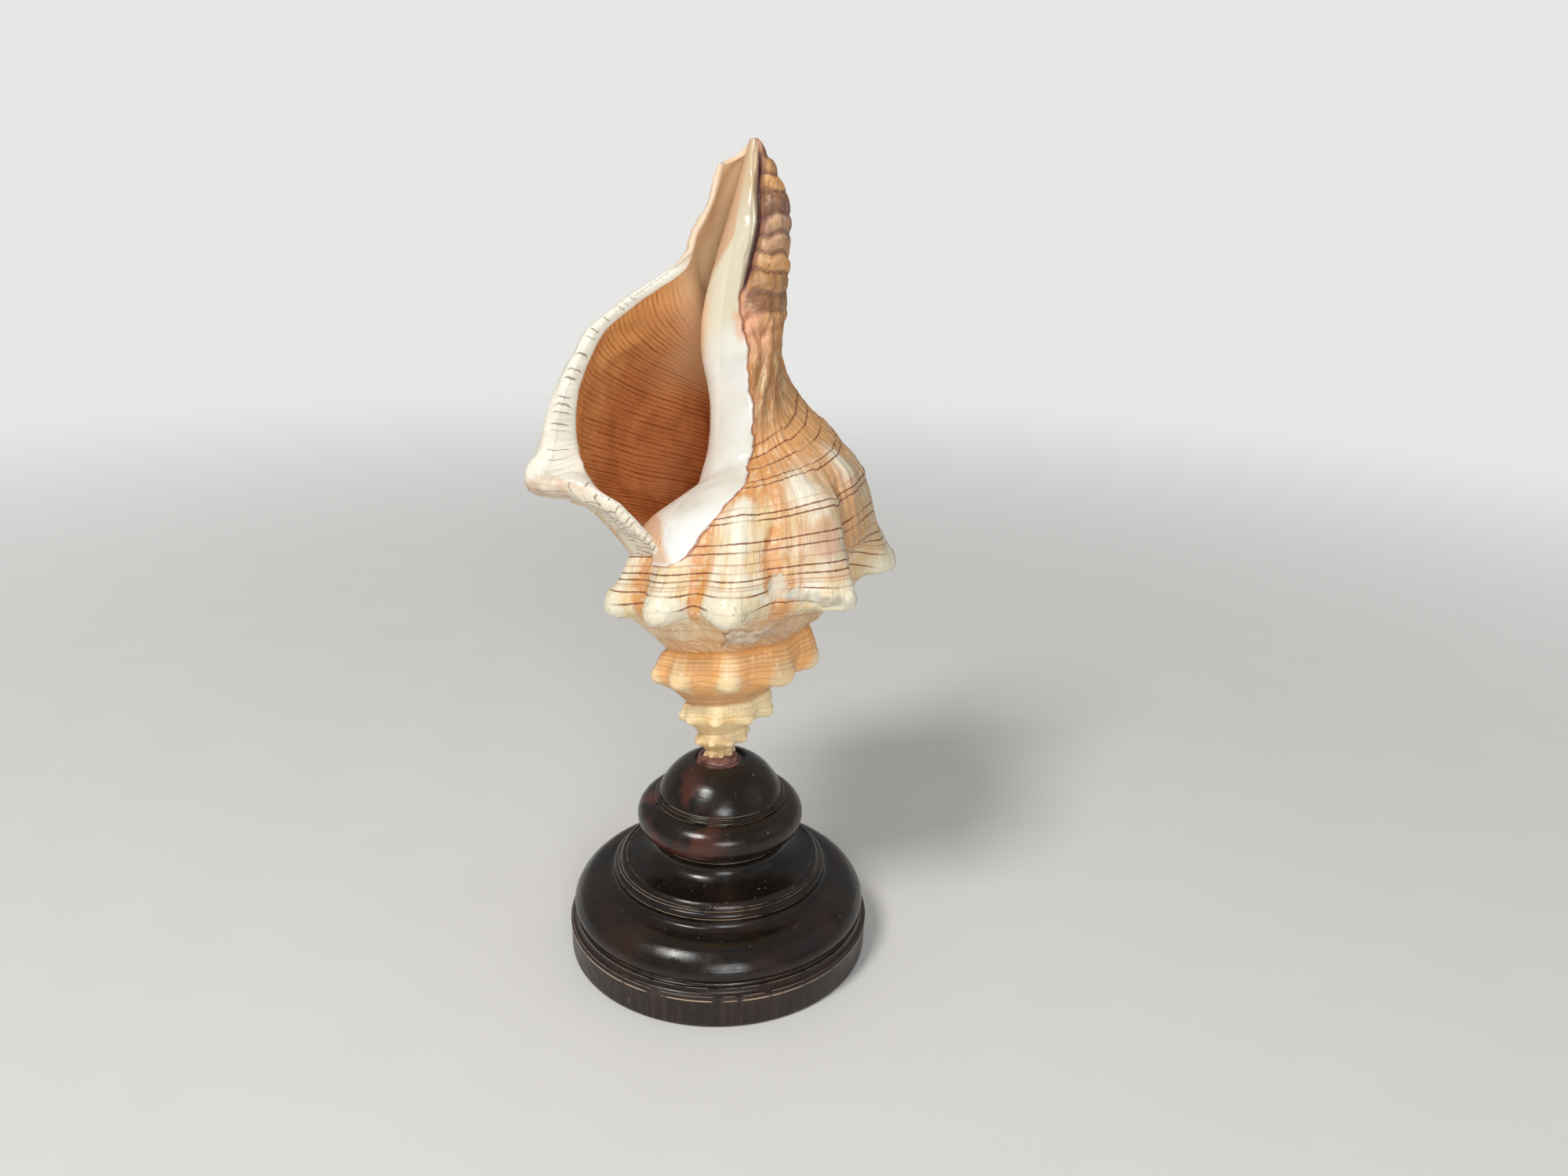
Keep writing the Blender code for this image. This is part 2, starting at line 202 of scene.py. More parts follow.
def section(th, s):
    """Radius and height of row s of the whorl's section, in mm, before knobs and relief."""
    m = np.clip(np.floor(s).astype(int), 0, LAST_POINT - 1)
    u = (s - m)[..., None]
    p0, p1, p2, p3 = (control(th, m + k) for k in (-1, 0, 1, 2))
    p0 = np.where((m == 0)[..., None], 2 * p1 - p2, p0)
    p3 = np.where((m == LAST_POINT - 1)[..., None], 2 * p2 - p1, p3)
    return eased(p0, p1, p2, p3, u)


# all the knobs, from the oldest on: those of the spire stand evenly
SPIRE_KNOBS = 49
EVENLY = [KNOBS[-1] - KNOB_STEP * n for n in range(1, SPIRE_KNOBS + 1)]
KNOB_AT = np.radians((KNOBS + EVENLY)[::-1])
KNOB_TABLES = [np.array((KNOB_SIZES + [0.8] * SPIRE_KNOBS)[::-1]),
               np.array((KNOB_ROWS + [3.6] * SPIRE_KNOBS)[::-1])]


def knob_wave(th):
    """1 on a knob, 0 midway between two; with the nearby knob's size and row."""
    i = np.clip(np.searchsorted(KNOB_AT, th) - 1, 0, len(KNOB_AT) - 2)
    u = (th - KNOB_AT[i]) / (KNOB_AT[i + 1] - KNOB_AT[i])
    near = smooth(0, 1, u)
    size, row = (v[i] * (1 - near) + v[i + 1] * near for v in KNOB_TABLES)
    return 0.5 + 0.5 * np.cos(TURN * u), size, row


def old_lip(th, s):
    """How far the shell is drawn in after the old lip, and under it (mm)."""
    deg = np.degrees(th)
    after = span(deg, STEP_AT - 1.5, STEP_AT + 4, STEP_AT + 26, STEP_AT + STEP_FADE)
    side = bell(s - STEP_ROW, 1) * STEP_DEPTH + bell(s - 7.2, 2.6) * STEP_WALL
    under = span(deg, UNDERCUT_FROM, STEP_AT - 12, STEP_AT + 10, STEP_AT + STEP_FADE)
    return after * side + under * UNDERCUT * bell(s - 2.3, 0.75)


def whorl_push(th, s):
    wave, big, row = knob_wave(th)
    rounder = smooth(-5.9, -7.2, th)
    width = np.where(s < row, KNOB_BELOW + 0.34 * rounder, KNOB_ABOVE)
    knob = wave**KNOB_EDGE * bell(s - row, width)
    fold = wave**1.3 * bell(s - FOLD_ROW, FOLD_SPAN)
    flare = smooth(-0.7, 0.05, th) * look_up(LIP_FLARE, s)
    size = big * np.exp(GROWTH * th) * smooth(0, 1, s)
    return size * (KNOB_HEIGHT * knob + FOLD_HEIGHT * fold) + flare


def push(th, s):
    below = whorl_push(th - TURN, np.full_like(s, 7)) * (1 - smooth(0, 1.5, s))
    return whorl_push(th, s) + below


def surface(th, s, knobs=1):
    th, s = np.broadcast_arrays(np.asarray(th, float), np.asarray(s, float))
    out = knobs * push(th, s) - old_lip(th, s)
    rz = section(th, s) + out[..., None] * np.array(KNOB_WAY)
    t = np.clip((rz[..., 1] - BEND_START) / BEND_SPAN, 0, 1.2) ** 2
    az = th + LIP_AZIMUTH
    x = BEND * t + rz[..., 0] * np.cos(az)
    return np.stack([x, rz[..., 0] * np.sin(az), rz[..., 1]], -1)


def outward(th, s, knobs=1):
    du = surface(th + 0.01, s, knobs) - surface(th - 0.01, s, knobs)
    hi = np.minimum(s + 0.05, LAST_POINT)
    lo = np.maximum(s - 0.05, 0)
    return unit(np.cross(du, surface(th, hi, knobs) - surface(th, lo, knobs)))


def ahead(th, s):
    lip = smooth(-1.5, 0, th) * np.radians(look_up(LIP_AHEAD, s))
    back = th + TURN
    seam = np.where(back <= 0, smooth(-1.5, 0, back), 1 - smooth(0, 2.1, back))
    return lip + seam * SEAM_AHEAD * smooth(3, 7, s)


def to_world(p):
    w = unit(np.array([math.sin(LEAN_X), math.sin(LEAN_Y), 1]))
    x = unit(np.array([1.0, 0, 0]) - w * w[0])
    return (p @ np.stack([x, np.cross(w, x), w], 1).T + np.array(APEX)) * MM


def cuts_to_rows(start, cuts):
    rows = [float(start)]
    for k, n in enumerate(cuts):
        rows += [start + k + (j + 1) / n for j in range(n)]
    return np.array(rows)


def grain(p, size, seed=0):
    """Smooth 3-D noise at points p (mm), features about size mm wide."""
    q = p / size + seed
    return np.array([noise.noise(Vector(v)) for v in q.reshape(-1, 3)]).reshape(q.shape[:-1])


# arc length (mm) along the section at the lip, in steps of a twentieth of a row
_s = np.linspace(0, 19, 381)
_p = section(np.zeros_like(_s), _s)
_arc = np.concatenate([[0], np.cumsum(np.linalg.norm(np.diff(_p, axis=0), axis=1))])


def arc_of(s):
    return np.interp(s, _s, _arc)


# the lip's white face, by row: how wide it is, measured from the whorl without its knobs (mm)
FACE_WIDTH = {0: 1.4, 1: 2.1, 2: 3.5, 3: 5.6, 4: 6.3, 5: 5.4, 6: 3.9, 7: 2.5, 9: 2.2, 10.5: 1.4,
              12: 1, 14: 1.2, 16: 1, 17.5: 1.2, 19: 1.4}
# and how far back it runs (degrees of the spiral)
FACE_DEEP = {0: 4.6, 5: 4.6, 7: 3, 12: 2.6, 14: 4.5, 19: 6}
# the callus's outer margin in degrees, from the suture to the canal
CALLUS = {6: -318, 6.8: -305, 7.8: -299, 8.3: -295, 9.2: -289, 10: -279, 11.6: -275, 12.8: -270,
          14: -274, 15: -283, 15.9: -293, 16.4: -301, 17: -304, 17.2: -302, 17.5: -297,
          17.8: -294, 18.2: -289, 18.5: -292, 19: -300}
# the swelling that ends each fold: its row, and its width along the spiral (radians)
BOSS_ROW = 4.15
BOSS_WIDE = 0.24
# the slit between the columella's blade and the fasciole, in degrees
SLIT = {16.6: -302, 16.9: -298, 17.1: -294, 17.3: -290, 17.5: -284, 17.7: -279, 17.9: -280,
        18.2: -283, 18.4: -280, 18.7: -262, 19: -255}
# the fasciole's ridges: the rows between them, how high each is and how pale
LAMELLAE = [15.6, 16.15, 16.42, 16.7, 17.07, 17.36, 17.6, 17.83, 18.15, 18.45, 18.85]
LAMELLA_HEIGHTS = [0.8, 0.9, 0.7, 1.1, 1.1, 0.8, 0.8, 1.1, 1, 0.8]
LAMELLA_TONES = [0.8, 0.7, 0.2, 0.45, 1, 0.8, 0.6, 0.1, 0.95, 0.6]


def callus_depth(th, s):
    """How far inside the callus's margin, in mm; negative outside."""
    edge = np.radians(look_up(CALLUS, s))
    along = (edge - th) * section(th, s)[..., 0]
    along += 0.25 * np.sin(3.7 * s) + 0.14 * np.sin(9.3 * s + 1) + 0.08 * np.sin(21 * s)
    return np.where(s < 8.5, np.minimum(along * 0.75, (s - 6.45) * 6.5), along)


def buried(th, s):
    """Where the callus's margin would run on under the last whorl."""
    return (th < math.radians(-326)) & (s < 7.01)


def past_slit(th, s):
    """Distance from the slit, in mm; positive on the fasciole's side."""
    return (th - np.radians(look_up(SLIT, s))) * section(th, s)[..., 0]


def groove(x, steep, gentle, ridges):
    """The slit's own depth, 1 at its middle, wider between the ridges."""
    return np.where(x < 0, np.exp(-(x / steep) ** 4), bell(x, gentle - 0.5 * ridges))


def lamella(s, x):
    """The fasciole's growth ridges: height (0 in the notches) and how pale each one is."""
    tilt = s + np.interp(s, [16, 17, 18, 19], [0.045, 0.032, 0.012, 0]) * x
    tilt += 0.03 * np.sin(0.45 * x + 1) + 0.05 * np.sin(4 * s + 0.3 * x)
    tilt += 0.025 * np.sin(0.9 * x + 5 * s)
    out = np.zeros_like(s)
    tone = np.full_like(s, 0.7)
    for a, b, tall, pale in zip(LAMELLAE[:-1], LAMELLAE[1:], LAMELLA_HEIGHTS, LAMELLA_TONES):
        u = np.clip((tilt - a) / (b - a), 0, 1)
        here = (tilt > a) & (tilt < b)
        out = np.maximum(out, np.where(here, tall * span(u, 0, 0.34, 0.7, 1), 0))
        tone = np.where(here, pale, tone)
    return out, tone


def boss(th, s):
    """The rounded swelling at the end of each fold, 1 at its middle."""
    i = np.clip(np.searchsorted(KNOB_AT, th), 1, len(KNOB_AT) - 1)
    gap = np.minimum(np.abs(th - KNOB_AT[i]), np.abs(th - KNOB_AT[i - 1]))
    up = np.where(s < BOSS_ROW, 0.68, 1.2)
    tall = (1 + 1.9 * smooth(-255, -275, np.degrees(th))) * smooth(-0.5, -1.2, th)
    return tall * bell(gap, BOSS_WIDE) * bell(s - BOSS_ROW, up)


def shoulders(th, s):
    """Rounded folds between the neck and the callus, 1 at their crests."""
    deg = np.degrees(th)
    broad = bell(deg + 247, 8.5) * bell(s - 9.3, 1)
    slim = bell(deg + 279, 5) * span(s, 6, 7.2, 8.9, 9.9)
    last = bell(deg + 209, 8) * bell(s - 9.6, 1.1)
    return broad + 0.8 * slim + 0.8 * last


def stop_edge(th, s):
    """A growth stop: the shell steps down behind it and starts again (0 to 1)."""
    x = th - math.radians(-228) - 0.05 * np.sin(0.7 * s + 1)
    down = smooth(-0.012, 0.004, x) * span(s, 3, 4.5, 9.5, 11.5)
    return np.exp(-np.clip(x, 0, None) / 0.035) * down


# furrows between the folds: (degrees, first row, last row, depth in mm, half width in degrees)
FURROWS = [
    (-265, 4.4, 8.3, 1.3, 2.6), (-298, 3.5, 6.8, 0.9, 2.2), (-328, 3.5, 6.3, 0.8, 2.4),
    (-220, 4.6, 9.8, 1.5, 6.5), (-146, 3.8, 8.5, 1.2, 5), (-88, 3.8, 8.5, 1.2, 5),
    (-32, 3.8, 8, 1, 4), (-257, 5.7, 7.3, 0.4, 0.9), (-274, 5, 6.6, 0.3, 1.2),
]


def furrows(th, s):
    deg = np.degrees(th) + 0.9 * np.sin(2.1 * s)
    out = 0
    for at, lo, hi, depth, wide in FURROWS:
        across = np.exp(-(np.abs(deg - at) / wide) ** 1.6)
        out += depth * across * span(s, lo, lo + 0.7, hi - 1, hi)
    return out


def ledge(th, s):
    """A broken shelf of grey-white shell on the ramp, under the old lip."""
    deg = np.degrees(th) + 6 * (s - 1.6) ** 2 + 0.6 * np.sin(7 * s)
    s = s + 0.16 * np.sin(0.35 * deg) + 0.08 * np.sin(1.1 * deg) - 0.012 * (deg + 280)
    return span(deg, -282.5, -280.8, -262, -243) * span(s, 0.8, 1.05, 2.1, 2.4)


def chalk(th, s):
    """Where the glaze has broken away along the old lip's shoulder."""
    deg = np.degrees(th)
    low = np.interp(deg, [-266, -258, -248, -241], [4.55, 4.35, 4.08, 4.03])
    high = np.interp(deg, [-266, -263, -259.5, -257.5, -248, -241], [5.3, 5.75, 5.6, 5, 4.7, 4.5])
    rag = 0.1 * np.sin(0.9 * deg) + 0.07 * np.sin(2.3 * deg + 9 * s)
    side = smooth(-266.5, -264.8, deg + 6 * rag) * smooth(-231, -236, deg)
    return side * span(s + rag, low - 0.06, low + 0.04, high - 0.04, high + 0.06)


def warm_floor(th, s):
    """The peach-coloured floor of the mouth, between the lip and the callus."""
    bound = np.interp(s, [6.3, 6.8, 7.65, 8.7, 9.3], [-311, -313.5, -321, -329, -344])
    return smooth(4.2, -1.6, np.degrees(th) - bound) * span(s, 6.4, 6.7, 9.2, 9.7)


def fasciole(th, x):
    return smooth(20, 14, x) * smooth(-120, -150, np.degrees(th))


def lip_reach(s):
    """How much of the lip's thickness is rounded over (mm)."""
    share = 0.5 + 0.1 * smooth(3, 4, s) - 0.28 * smooth(8, 12, s)
    return share * look_up(FACE_WIDTH, s)


def bullnose(cols, th, s):
    """How far the outside curls in toward the lip's edge (mm)."""
    reach = lip_reach(s)
    gone = -cols[:, None] * section(th, s)[..., 0] / (1.25 * reach + 0.3)
    x = np.clip(1 - gone, 0, 1)
    return reach * (1 - np.sqrt(1 - x * x))


# low cords run between these rows, from one of a pair of brown lines to the other
CORDS = [(4.2, 4.9), (5.62, 6), (6.92, 7.32), (8.27, 8.55), (9.95, 10.25)]


def relief(th, s, base):
    """Outer surface: growth ribs, lumps, bosses, callus, slit and fasciole (mm)."""
    deg = np.degrees(th)
    g = np.exp(GROWTH * np.minimum(th, 0))
    g = np.where(s > 12, np.maximum(g, 0.6), g)
    call = callus_depth(th, s)
    shield = np.where(buried(th, s), 0, smooth(-0.25, 0.45, call))
    bare = (1 - shield) * smooth(0.2, 1.5, s)
    rib = np.sin(th * 57 + 1.7 * np.sin(th * 13) + 0.35 * s)
    rib += 0.7 * np.sin(th * 131 + 2.2 * np.sin(th * 7) + 0.2 * s)
    out = 0.17 * g * rib * bare * (1 - 0.85 * smooth(12, 14, s)) * smooth(0.05, 0.16, g)
    out += g * boss(th, s) * bare
    # folds, furrows and the growth stop
    front = smooth(-225, -250, deg) * span(s, 4, 4.8, 8.5, 10.5)
    out += 1.3 * g * (knob_wave(th)[0] - 0.5) * front * bare
    out -= 0.55 * stop_edge(th, s) + furrows(th, s)
    out += 1.1 * bell(deg + 238, 7.5) * span(s, 4.4, 5.4, 8, 9.6)
    out += 0.9 * shoulders(th, s) * bare
    for lo, hi in CORDS:
        out += 0.16 * g * span(s, lo - 0.1, lo + 0.08, hi - 0.08, hi + 0.1) * bare
    lump = grain(base, 9) * 0.6 + grain(base, 3.4, 7) * 0.46 + grain(base, 1.8, 4) * 0.16
    out += lump * (0.1 + 0.9 * g) * (1 - 0.75 * shield)
    # the spire's walls stay full up to the seam
    out += 1.7 * g * smooth(-6.6, -7.6, th) * span(s, 4, 5.8, 6.6, 7)
    out += 0.5 * shield * smooth(6.3, 7, s)
    out += 0.9 * ledge(th, s) + 0.3 * chalk(th, s) * grain(base, 1.1, 2)
    # slit and fasciole
    x = past_slit(th, s)
    ridges = lamella(s, x)[0]
    out -= 2.1 * span(s, 16.55, 17.1, 18.55, 18.95) * groove(x, 0.75, 1.5, ridges)
    ridge = smooth(15, 16.6, s) * smooth(0.3, 2.4, x) * fasciole(th, x)
    ridges = 0.35 + (ridges - 0.35) * (1 - 0.5 * smooth(4, 9, x))
    out += ridge * (0.95 * ridges - 0.15 + 0.4 * grain(base, 3, 5))
    # puckers and growth streaks where the neck turns into the fasciole
    pucker = span(s, 12.6, 14, 15.4, 16.6) * smooth(0.3, 1.5, -call) * smooth(-120, -150, deg)
    out += 0.35 * pucker * np.sin(th * 15 + 2.6 * np.sin(1.5 * s) + 1.7 * s)
    scar = bell(s - 15.95 + 0.25 * np.sin(th * 9), 0.13) * span(call, -8, -2, -0.2, 0.4)
    return out - 0.9 * scar


def skin(cols, rows):
    """The outside on a grid of spiral angles and rows: angle, row and point (mm)."""
    th, s = np.meshgrid(cols, rows, indexing="ij")
    th = th + ahead(th, s) + crenulation(th, s)
    p = surface(th, s)
    n = outward(th, s)
    out = relief(th, s, p) * (1 - 0.6 * smooth(-0.12, 0, cols))[:, None]
    p = p + n * (out - bullnose(cols, th, s))[..., None]
    if rows[0] == 0:
        prior = cols - TURN
        known = prior >= -WHORLS * TURN
        if known.any():
            p[known, 0] = skin(prior[known], np.array([7.0]))[2][:, 0]
    return th, s, p


def crenulation(th, s):
    """The lip's edge is slightly uneven (radians of extra growth)."""
    wave = 0.45 * np.sin(4.3 * s) + 0.35 * np.sin(9.1 * s + 1) + 0.2 * np.sin(17 * s)
    return 0.012 * wave * smooth(-0.12, 0, th) * smooth(0.5, 1.5, s)


def grid_normals(p):
    return unit(np.cross(np.gradient(p, axis=0), np.gradient(p, axis=1)))


def fan(loop, middle):
    """The grid that closes a loop of points with one point at its middle."""
    return np.stack([loop, np.broadcast_to(middle, loop.shape)], 1)


def add(name, data):
    obj = bpy.data.objects.new(name, data)
    bpy.context.scene.collection.objects.link(obj)
    return obj


def add_mesh(name, points, faces, mat, values):
    """A smooth mesh with one number a point for each of the named values."""
    mesh = bpy.data.meshes.new(name)
    mesh.from_pydata(points.reshape(-1, 3).tolist(), [], faces)
    mesh.polygons.foreach_set("use_smooth", [True] * len(mesh.polygons))
    for key, value in values.items():
        mesh.attributes.new(key, "FLOAT", "POINT").data.foreach_set("value", value.astype(np.float32))
    mesh.materials.append(mat)
    return mesh


class Sheets:
    """Grids of points gathered into one mesh, with named values at each point."""

    def __init__(self):
        self.points, self.normals, self.uvs, self.faces = [], [], [], []
        self.values = {key: [] for key in VALUES}
        self.count = 0

    def grid(self, p, rect, normals=None, part=..., **values):
        """Adds part of the grid p, laid out on the rectangle rect of the texture."""
        n = grid_normals(p) if normals is None else normals
        p, n = p[part], n[part]
        a, b = p.shape[:2]
        x0, y0, x1, y1 = rect
        u, v = np.meshgrid(np.linspace(x0, x1, a), np.linspace(y0, y1, b), indexing="ij")
        self.points.append(p.reshape(-1, 3))
        self.normals.append(n.reshape(-1, 3))
        self.uvs.append(np.stack([u, v], -1).reshape(-1, 2))
        for key, parts in self.values.items():
            got = values.get(key, 0.0)
            got = np.broadcast_to(got[part] if np.ndim(got) > 1 else got, (a, b)).reshape(-1)
            parts.append(got.astype(np.float32))
        idx = self.count + np.arange(a * b).reshape(a, b)
        quads = np.stack([idx[:-1, :-1], idx[1:, :-1], idx[1:, 1:], idx[:-1, 1:]], -1)
        self.faces.extend(quads.reshape(-1, 4).tolist())
        self.count += a * b

    def build(self, name, mat):
        values = {key: np.concatenate(parts) for key, parts in self.values.items()}
        mesh = add_mesh(name, to_world(np.concatenate(self.points)), self.faces, mat, values)
        uv = np.concatenate(self.uvs)
        corner = np.empty(len(mesh.loops), dtype=np.int32)
        mesh.loops.foreach_get("vertex_index", corner)
        mesh.uv_layers.new(name="OFBake").data.foreach_set("uv", uv[corner].reshape(-1))
        n = (to_world(np.concatenate(self.normals)) - to_world(np.zeros((1, 3)))) / MM
        mesh.normals_split_custom_set_from_vertices(n.tolist())
        mesh.validate(clean_customdata=False)
        return add(name, mesh)


VALUES = """turn row arc size call knob fold slit fas lam tone shade chalk shelf furrow crest
            warm near deep face kind""".split()
ROWS = cuts_to_rows(0, WHORL_CUTS + BODY_CUTS)
SPIRE_ROWS = cuts_to_rows(0, WHORL_CUTS)
STEP = TURN / STEPS
CORNER = 4             # steps past the suture at which the hollow's lining begins
CORNER_ROW = 0.84      # the row at which the lip's wall meets it
CANAL_ROW = 13
SEAM_AT = len(SPIRE_ROWS) - 1
CANAL_AT = index_of(CANAL_ROW, ROWS)
LIP_COLUMNS = [8.2, 6.8, 5.6, 4.6, 3.7, 2.9, 2.2, 1.6, 1.1, 0.7, 0.35, 0.12, 0]
TIP = np.array((-3.4, 0, 152))


def looks(th, s):
    """The values that the outside's material reads."""
    g = np.exp(GROWTH * np.minimum(th, 0))
    wave, big, row = knob_wave(th)
    knob = wave**1.2 * bell(s - row, np.where(s < row, 0.8, 1.75))
    call = np.where(buried(th, s), -25, np.clip(callus_depth(th, s), -25, 25))
    x = past_slit(th, s)
    ridges, tone = lamella(s, x)
    slit = span(s, 16.45, 17, 18.7, 19) * groove(x, 0.5, 1.3, ridges)
    fas = smooth(15.3, 16.6, s) * smooth(-0.2, 1.6, x) * fasciole(th, x)
    call = np.where((s > 16.8) & (x < 3), np.maximum(call, np.minimum(-x, 4) - 0.3), call)
    shade = smooth(3.6 - 1.4 * ridges, 0.6, x) * smooth(16.7, 17.1, s) * (x > -1)
    # the spiral lines jump where growth stopped
    jog = 0.6 * (th > math.radians(-231)) + 0.5 * (th > math.radians(-96))
    folds = shoulders(th, s)
    # painted shade: the hollow below the fold behind the old lip is made darker through this value
    hollow = bell(np.degrees(th) + 241, 7) * bell(s - 7, 1)
    return dict(turn=th, row=s, arc=arc_of(np.clip(s, 0, 19)) + jog, size=g, call=call, knob=knob * big,
                fold=(wave - 0.5) * bell(s - 5.4, 3.4) + 0.75 * folds, slit=slit, fas=fas, lam=ridges,
                tone=tone, shade=shade, furrow=np.clip(furrows(th, s), 0, 1.3), crest=folds - hollow,
                chalk=chalk(th, s), shelf=ledge(th, s), warm=warm_floor(th, s) * (th < -5.2))


def whorl_mesh(mat):
    cols = np.linspace(-TURN, 0, STEPS + 1)
    early = cols[cols < math.radians(-LIP_DEG)]
    cols = np.concatenate([[-TURN - STEP], early, -np.radians(LIP_COLUMNS)])
    th, s, p = skin(cols, ROWS)
    n = grid_normals(p)
    out = Sheets()
    th, s, p, n = th[1:], s[1:], p[1:], n[1:]
    near = np.clip(1 + cols[1:, None] * section(th, s)[..., 0] / 12, 0, 1)
    out.grid(p, (0.005, 0.005, 0.995, 0.985), n, near=near, **looks(th, s))
    # the tip of the columella
    loop = p[: int(STEPS * (360 - OPEN_DEG) / 360) + 1, -1]
    out.grid(fan(loop, TIP), (0.005, 0.99, 0.995, 0.998),
             **looks(th[: len(loop), -1:], s[: len(loop), -1:]))
    return out.build("shell_body_whorl", mat)


def spire_mesh(mat):
    coarse = np.linspace(-WHORLS * TURN, -2 * TURN, (WHORLS - 2) * STEPS // SPIRE_EVERY + 1)
    cols = np.concatenate([coarse[:-1], np.linspace(-2 * TURN, -TURN, STEPS + 1), [-TURN + STEP]])
    th, s, p = skin(cols, SPIRE_ROWS)
    n = grid_normals(p)
    out = Sheets()
    vals = looks(th, s)
    third = STEPS // SPIRE_EVERY
    # first and last column of each whorl, and its share of the texture's height
    spans = [(len(coarse) - 1, len(cols) - 2, 0.48)]
    spans += [(k * third, (k + 1) * third, h) for k, h in ((2, 0.27), (1, 0.15), (0, 0.08))]
    y = 0.004
    for a, b, h in spans:
        out.grid(p, (0.004, y, 0.996, y + h - 0.006), n, np.s_[a: b + 1], **vals)
        y += h
    # the blunt start of the first whorl
    loop = np.concatenate([p[0, :], p[:third + 1, 0][::-1]])
    out.grid(fan(loop, p[0].mean(axis=0) - (0, 0, 0.6)), (0.004, 0.988, 0.996, 0.998),
             turn=-WHORLS * TURN, row=2, arc=12, size=0.07, call=-25)
    return out.build("shell_spire", mat)


def mouth_mesh(mat):
    near = np.array([0, 0.35, 0.8, 1.3, 1.9, 2.5, 3.1, 3.8, 4.6, 5.6, 6.8])
    mid = np.arange(8.2, FINE_DEG, 1.64)
    far = np.arange(mid[-1] + 3, HOLLOW_DEG + 2, 3)
    depth = np.concatenate([near, mid, far])
    opened = index_of(OPEN_DEG, depth)
    depth[opened] = OPEN_DEG
    shut = index_of(SHUT_DEG, depth)
    cols = -np.radians(depth)
    # the lining: the outside of the whorl before, seen in the hollow
    lcols = np.concatenate([[STEP], cols]) - TURN
    lrows = ROWS[SEAM_AT + CORNER:]
    lth, ls, lp = skin(lcols, lrows)
    ln = grid_normals(lp[::-1])[::-1]
    # the wall's inner face
    th, s = np.meshgrid(cols, ROWS, indexing="ij")
    th = th + ahead(th, s) + crenulation(th, s)
    d = np.broadcast_to(depth[:, None], s.shape)
    back = look_up(FACE_DEEP, s)
    u = np.clip(d / back, 0, 1)
    bevel = 1 - (1 - u) ** 1.7
    k = 1 - bevel + 0.3 * smooth(8, 34, d)
    base = surface(th, s, k)
    nrm = outward(th, s, k)
    face = look_up(FACE_WIDTH, s)
    body = 3 * np.exp(-0.6 * GROWTH * np.radians(d))
    body = body + (1.4 - body) * smooth(11, 14, s)
    reach = lip_reach(s)
    rim = reach + np.minimum(0.7, 0.35 * face)
    thick = rim + (face - rim) * bevel + (body - face) * smooth(6, 34, d)
    lump = 0.25 * grain(base, 7, 3) * smooth(2, 8, d)
    w = base - nrm * (thick + lump)[..., None]
    # the corner towards the suture, and the end of the canal
    first = index_of(CORNER_ROW, ROWS)
    t = (np.arange(first + 1) / first)[None, :, None]
    corner = lp[1:, :1]
    w[:, : first + 1] = corner * (1 - t) + w[:, first: first + 1] * t
    lrow = np.zeros_like(w)
    lrow[:, SEAM_AT + CORNER:] = lp[1:]
    f = np.clip((s - 18) / 1, 0, 1) ** 2 * smooth(OPEN_DEG - 14, OPEN_DEG, d)
    w = w * (1 - f[..., None]) + lrow * f[..., None]
    out = Sheets()
    width = section(th, s)[..., 0]
    mm = np.radians(d) * width
    vals = dict(turn=th, row=s, arc=arc_of(s), size=1, deep=mm, face=d / back, kind=1)
    nw = grid_normals(w)
    last = -np.radians(LIP_COLUMNS[-3:])
    lip_normal = grid_normals(skin(last, ROWS)[2])[-1]
    ease = 0.55 * np.clip(1 - u, 0, 1)[..., None] ** 2
    nw = unit(nw * (1 - ease) + lip_normal[None] * ease)
    out.grid(w, (0.004, 0.004, 0.5, 0.99), nw, np.s_[: shut + 1], **vals)
    out.grid(w, (0.504, 0.004, 0.6, 0.6), nw, np.s_[shut:, : CANAL_AT + 1], **vals)
    q = lp[1:]
    behind = np.broadcast_to(depth[:, None], ls[1:].shape)
    vals = looks(lth[1:], ls[1:])
    vals.update(deep=np.radians(behind) * 20, face=behind, kind=2)
    stop = CANAL_AT - SEAM_AT - CORNER
    out.grid(q, (0.604, 0.004, 0.9, 0.99), ln[1:], np.s_[shut::-1], **vals)
    out.grid(q, (0.904, 0.004, 0.95, 0.6), ln[1:], np.s_[: shut - 1: -1, : stop + 1], **vals)
    # the lip's edge, rounded over from the outside to the face
    edge = skin(np.array([0.0]), ROWS)[2][0]
    fwd = unit(surface(th[0] + 0.02, s[0]) - surface(th[0], s[0]))
    shares = [(0, 0), (0.15, 0.16), (0.5, 0.26), (0.85, 0.16), (1, 0)]
    strip = np.stack([edge * (1 - a) + w[0] * a + ahead_by * fwd for a, ahead_by in shares])
    turnover = np.stack([lip_normal * (1 - a) + nw[0] * a for a in np.linspace(0, 1, 5)])
    out.grid(strip, (0.955, 0.004, 0.97, 0.99), turnover, row=s[0], arc=arc_of(s[0]), size=1,
             kind=1)
    # the canal's open end
    outer_end = skin(-np.radians(depth[: opened + 1]), ROWS)[2][:, -1]
    inner_end = w[: opened + 1, -1]
    lipr = np.stack([inner_end, 0.5 * (inner_end + outer_end) + (0, 0, 0.25), outer_end], 1)
    out.grid(lipr, (0.975, 0.004, 0.985, 0.3), row=19, arc=float(arc_of(19)), size=1, kind=1)
    out.grid(fan(q[: opened + 1, -1], TIP)[::-1], (0.975, 0.31, 0.985, 0.5),
             row=19, kind=2, size=1, call=5)
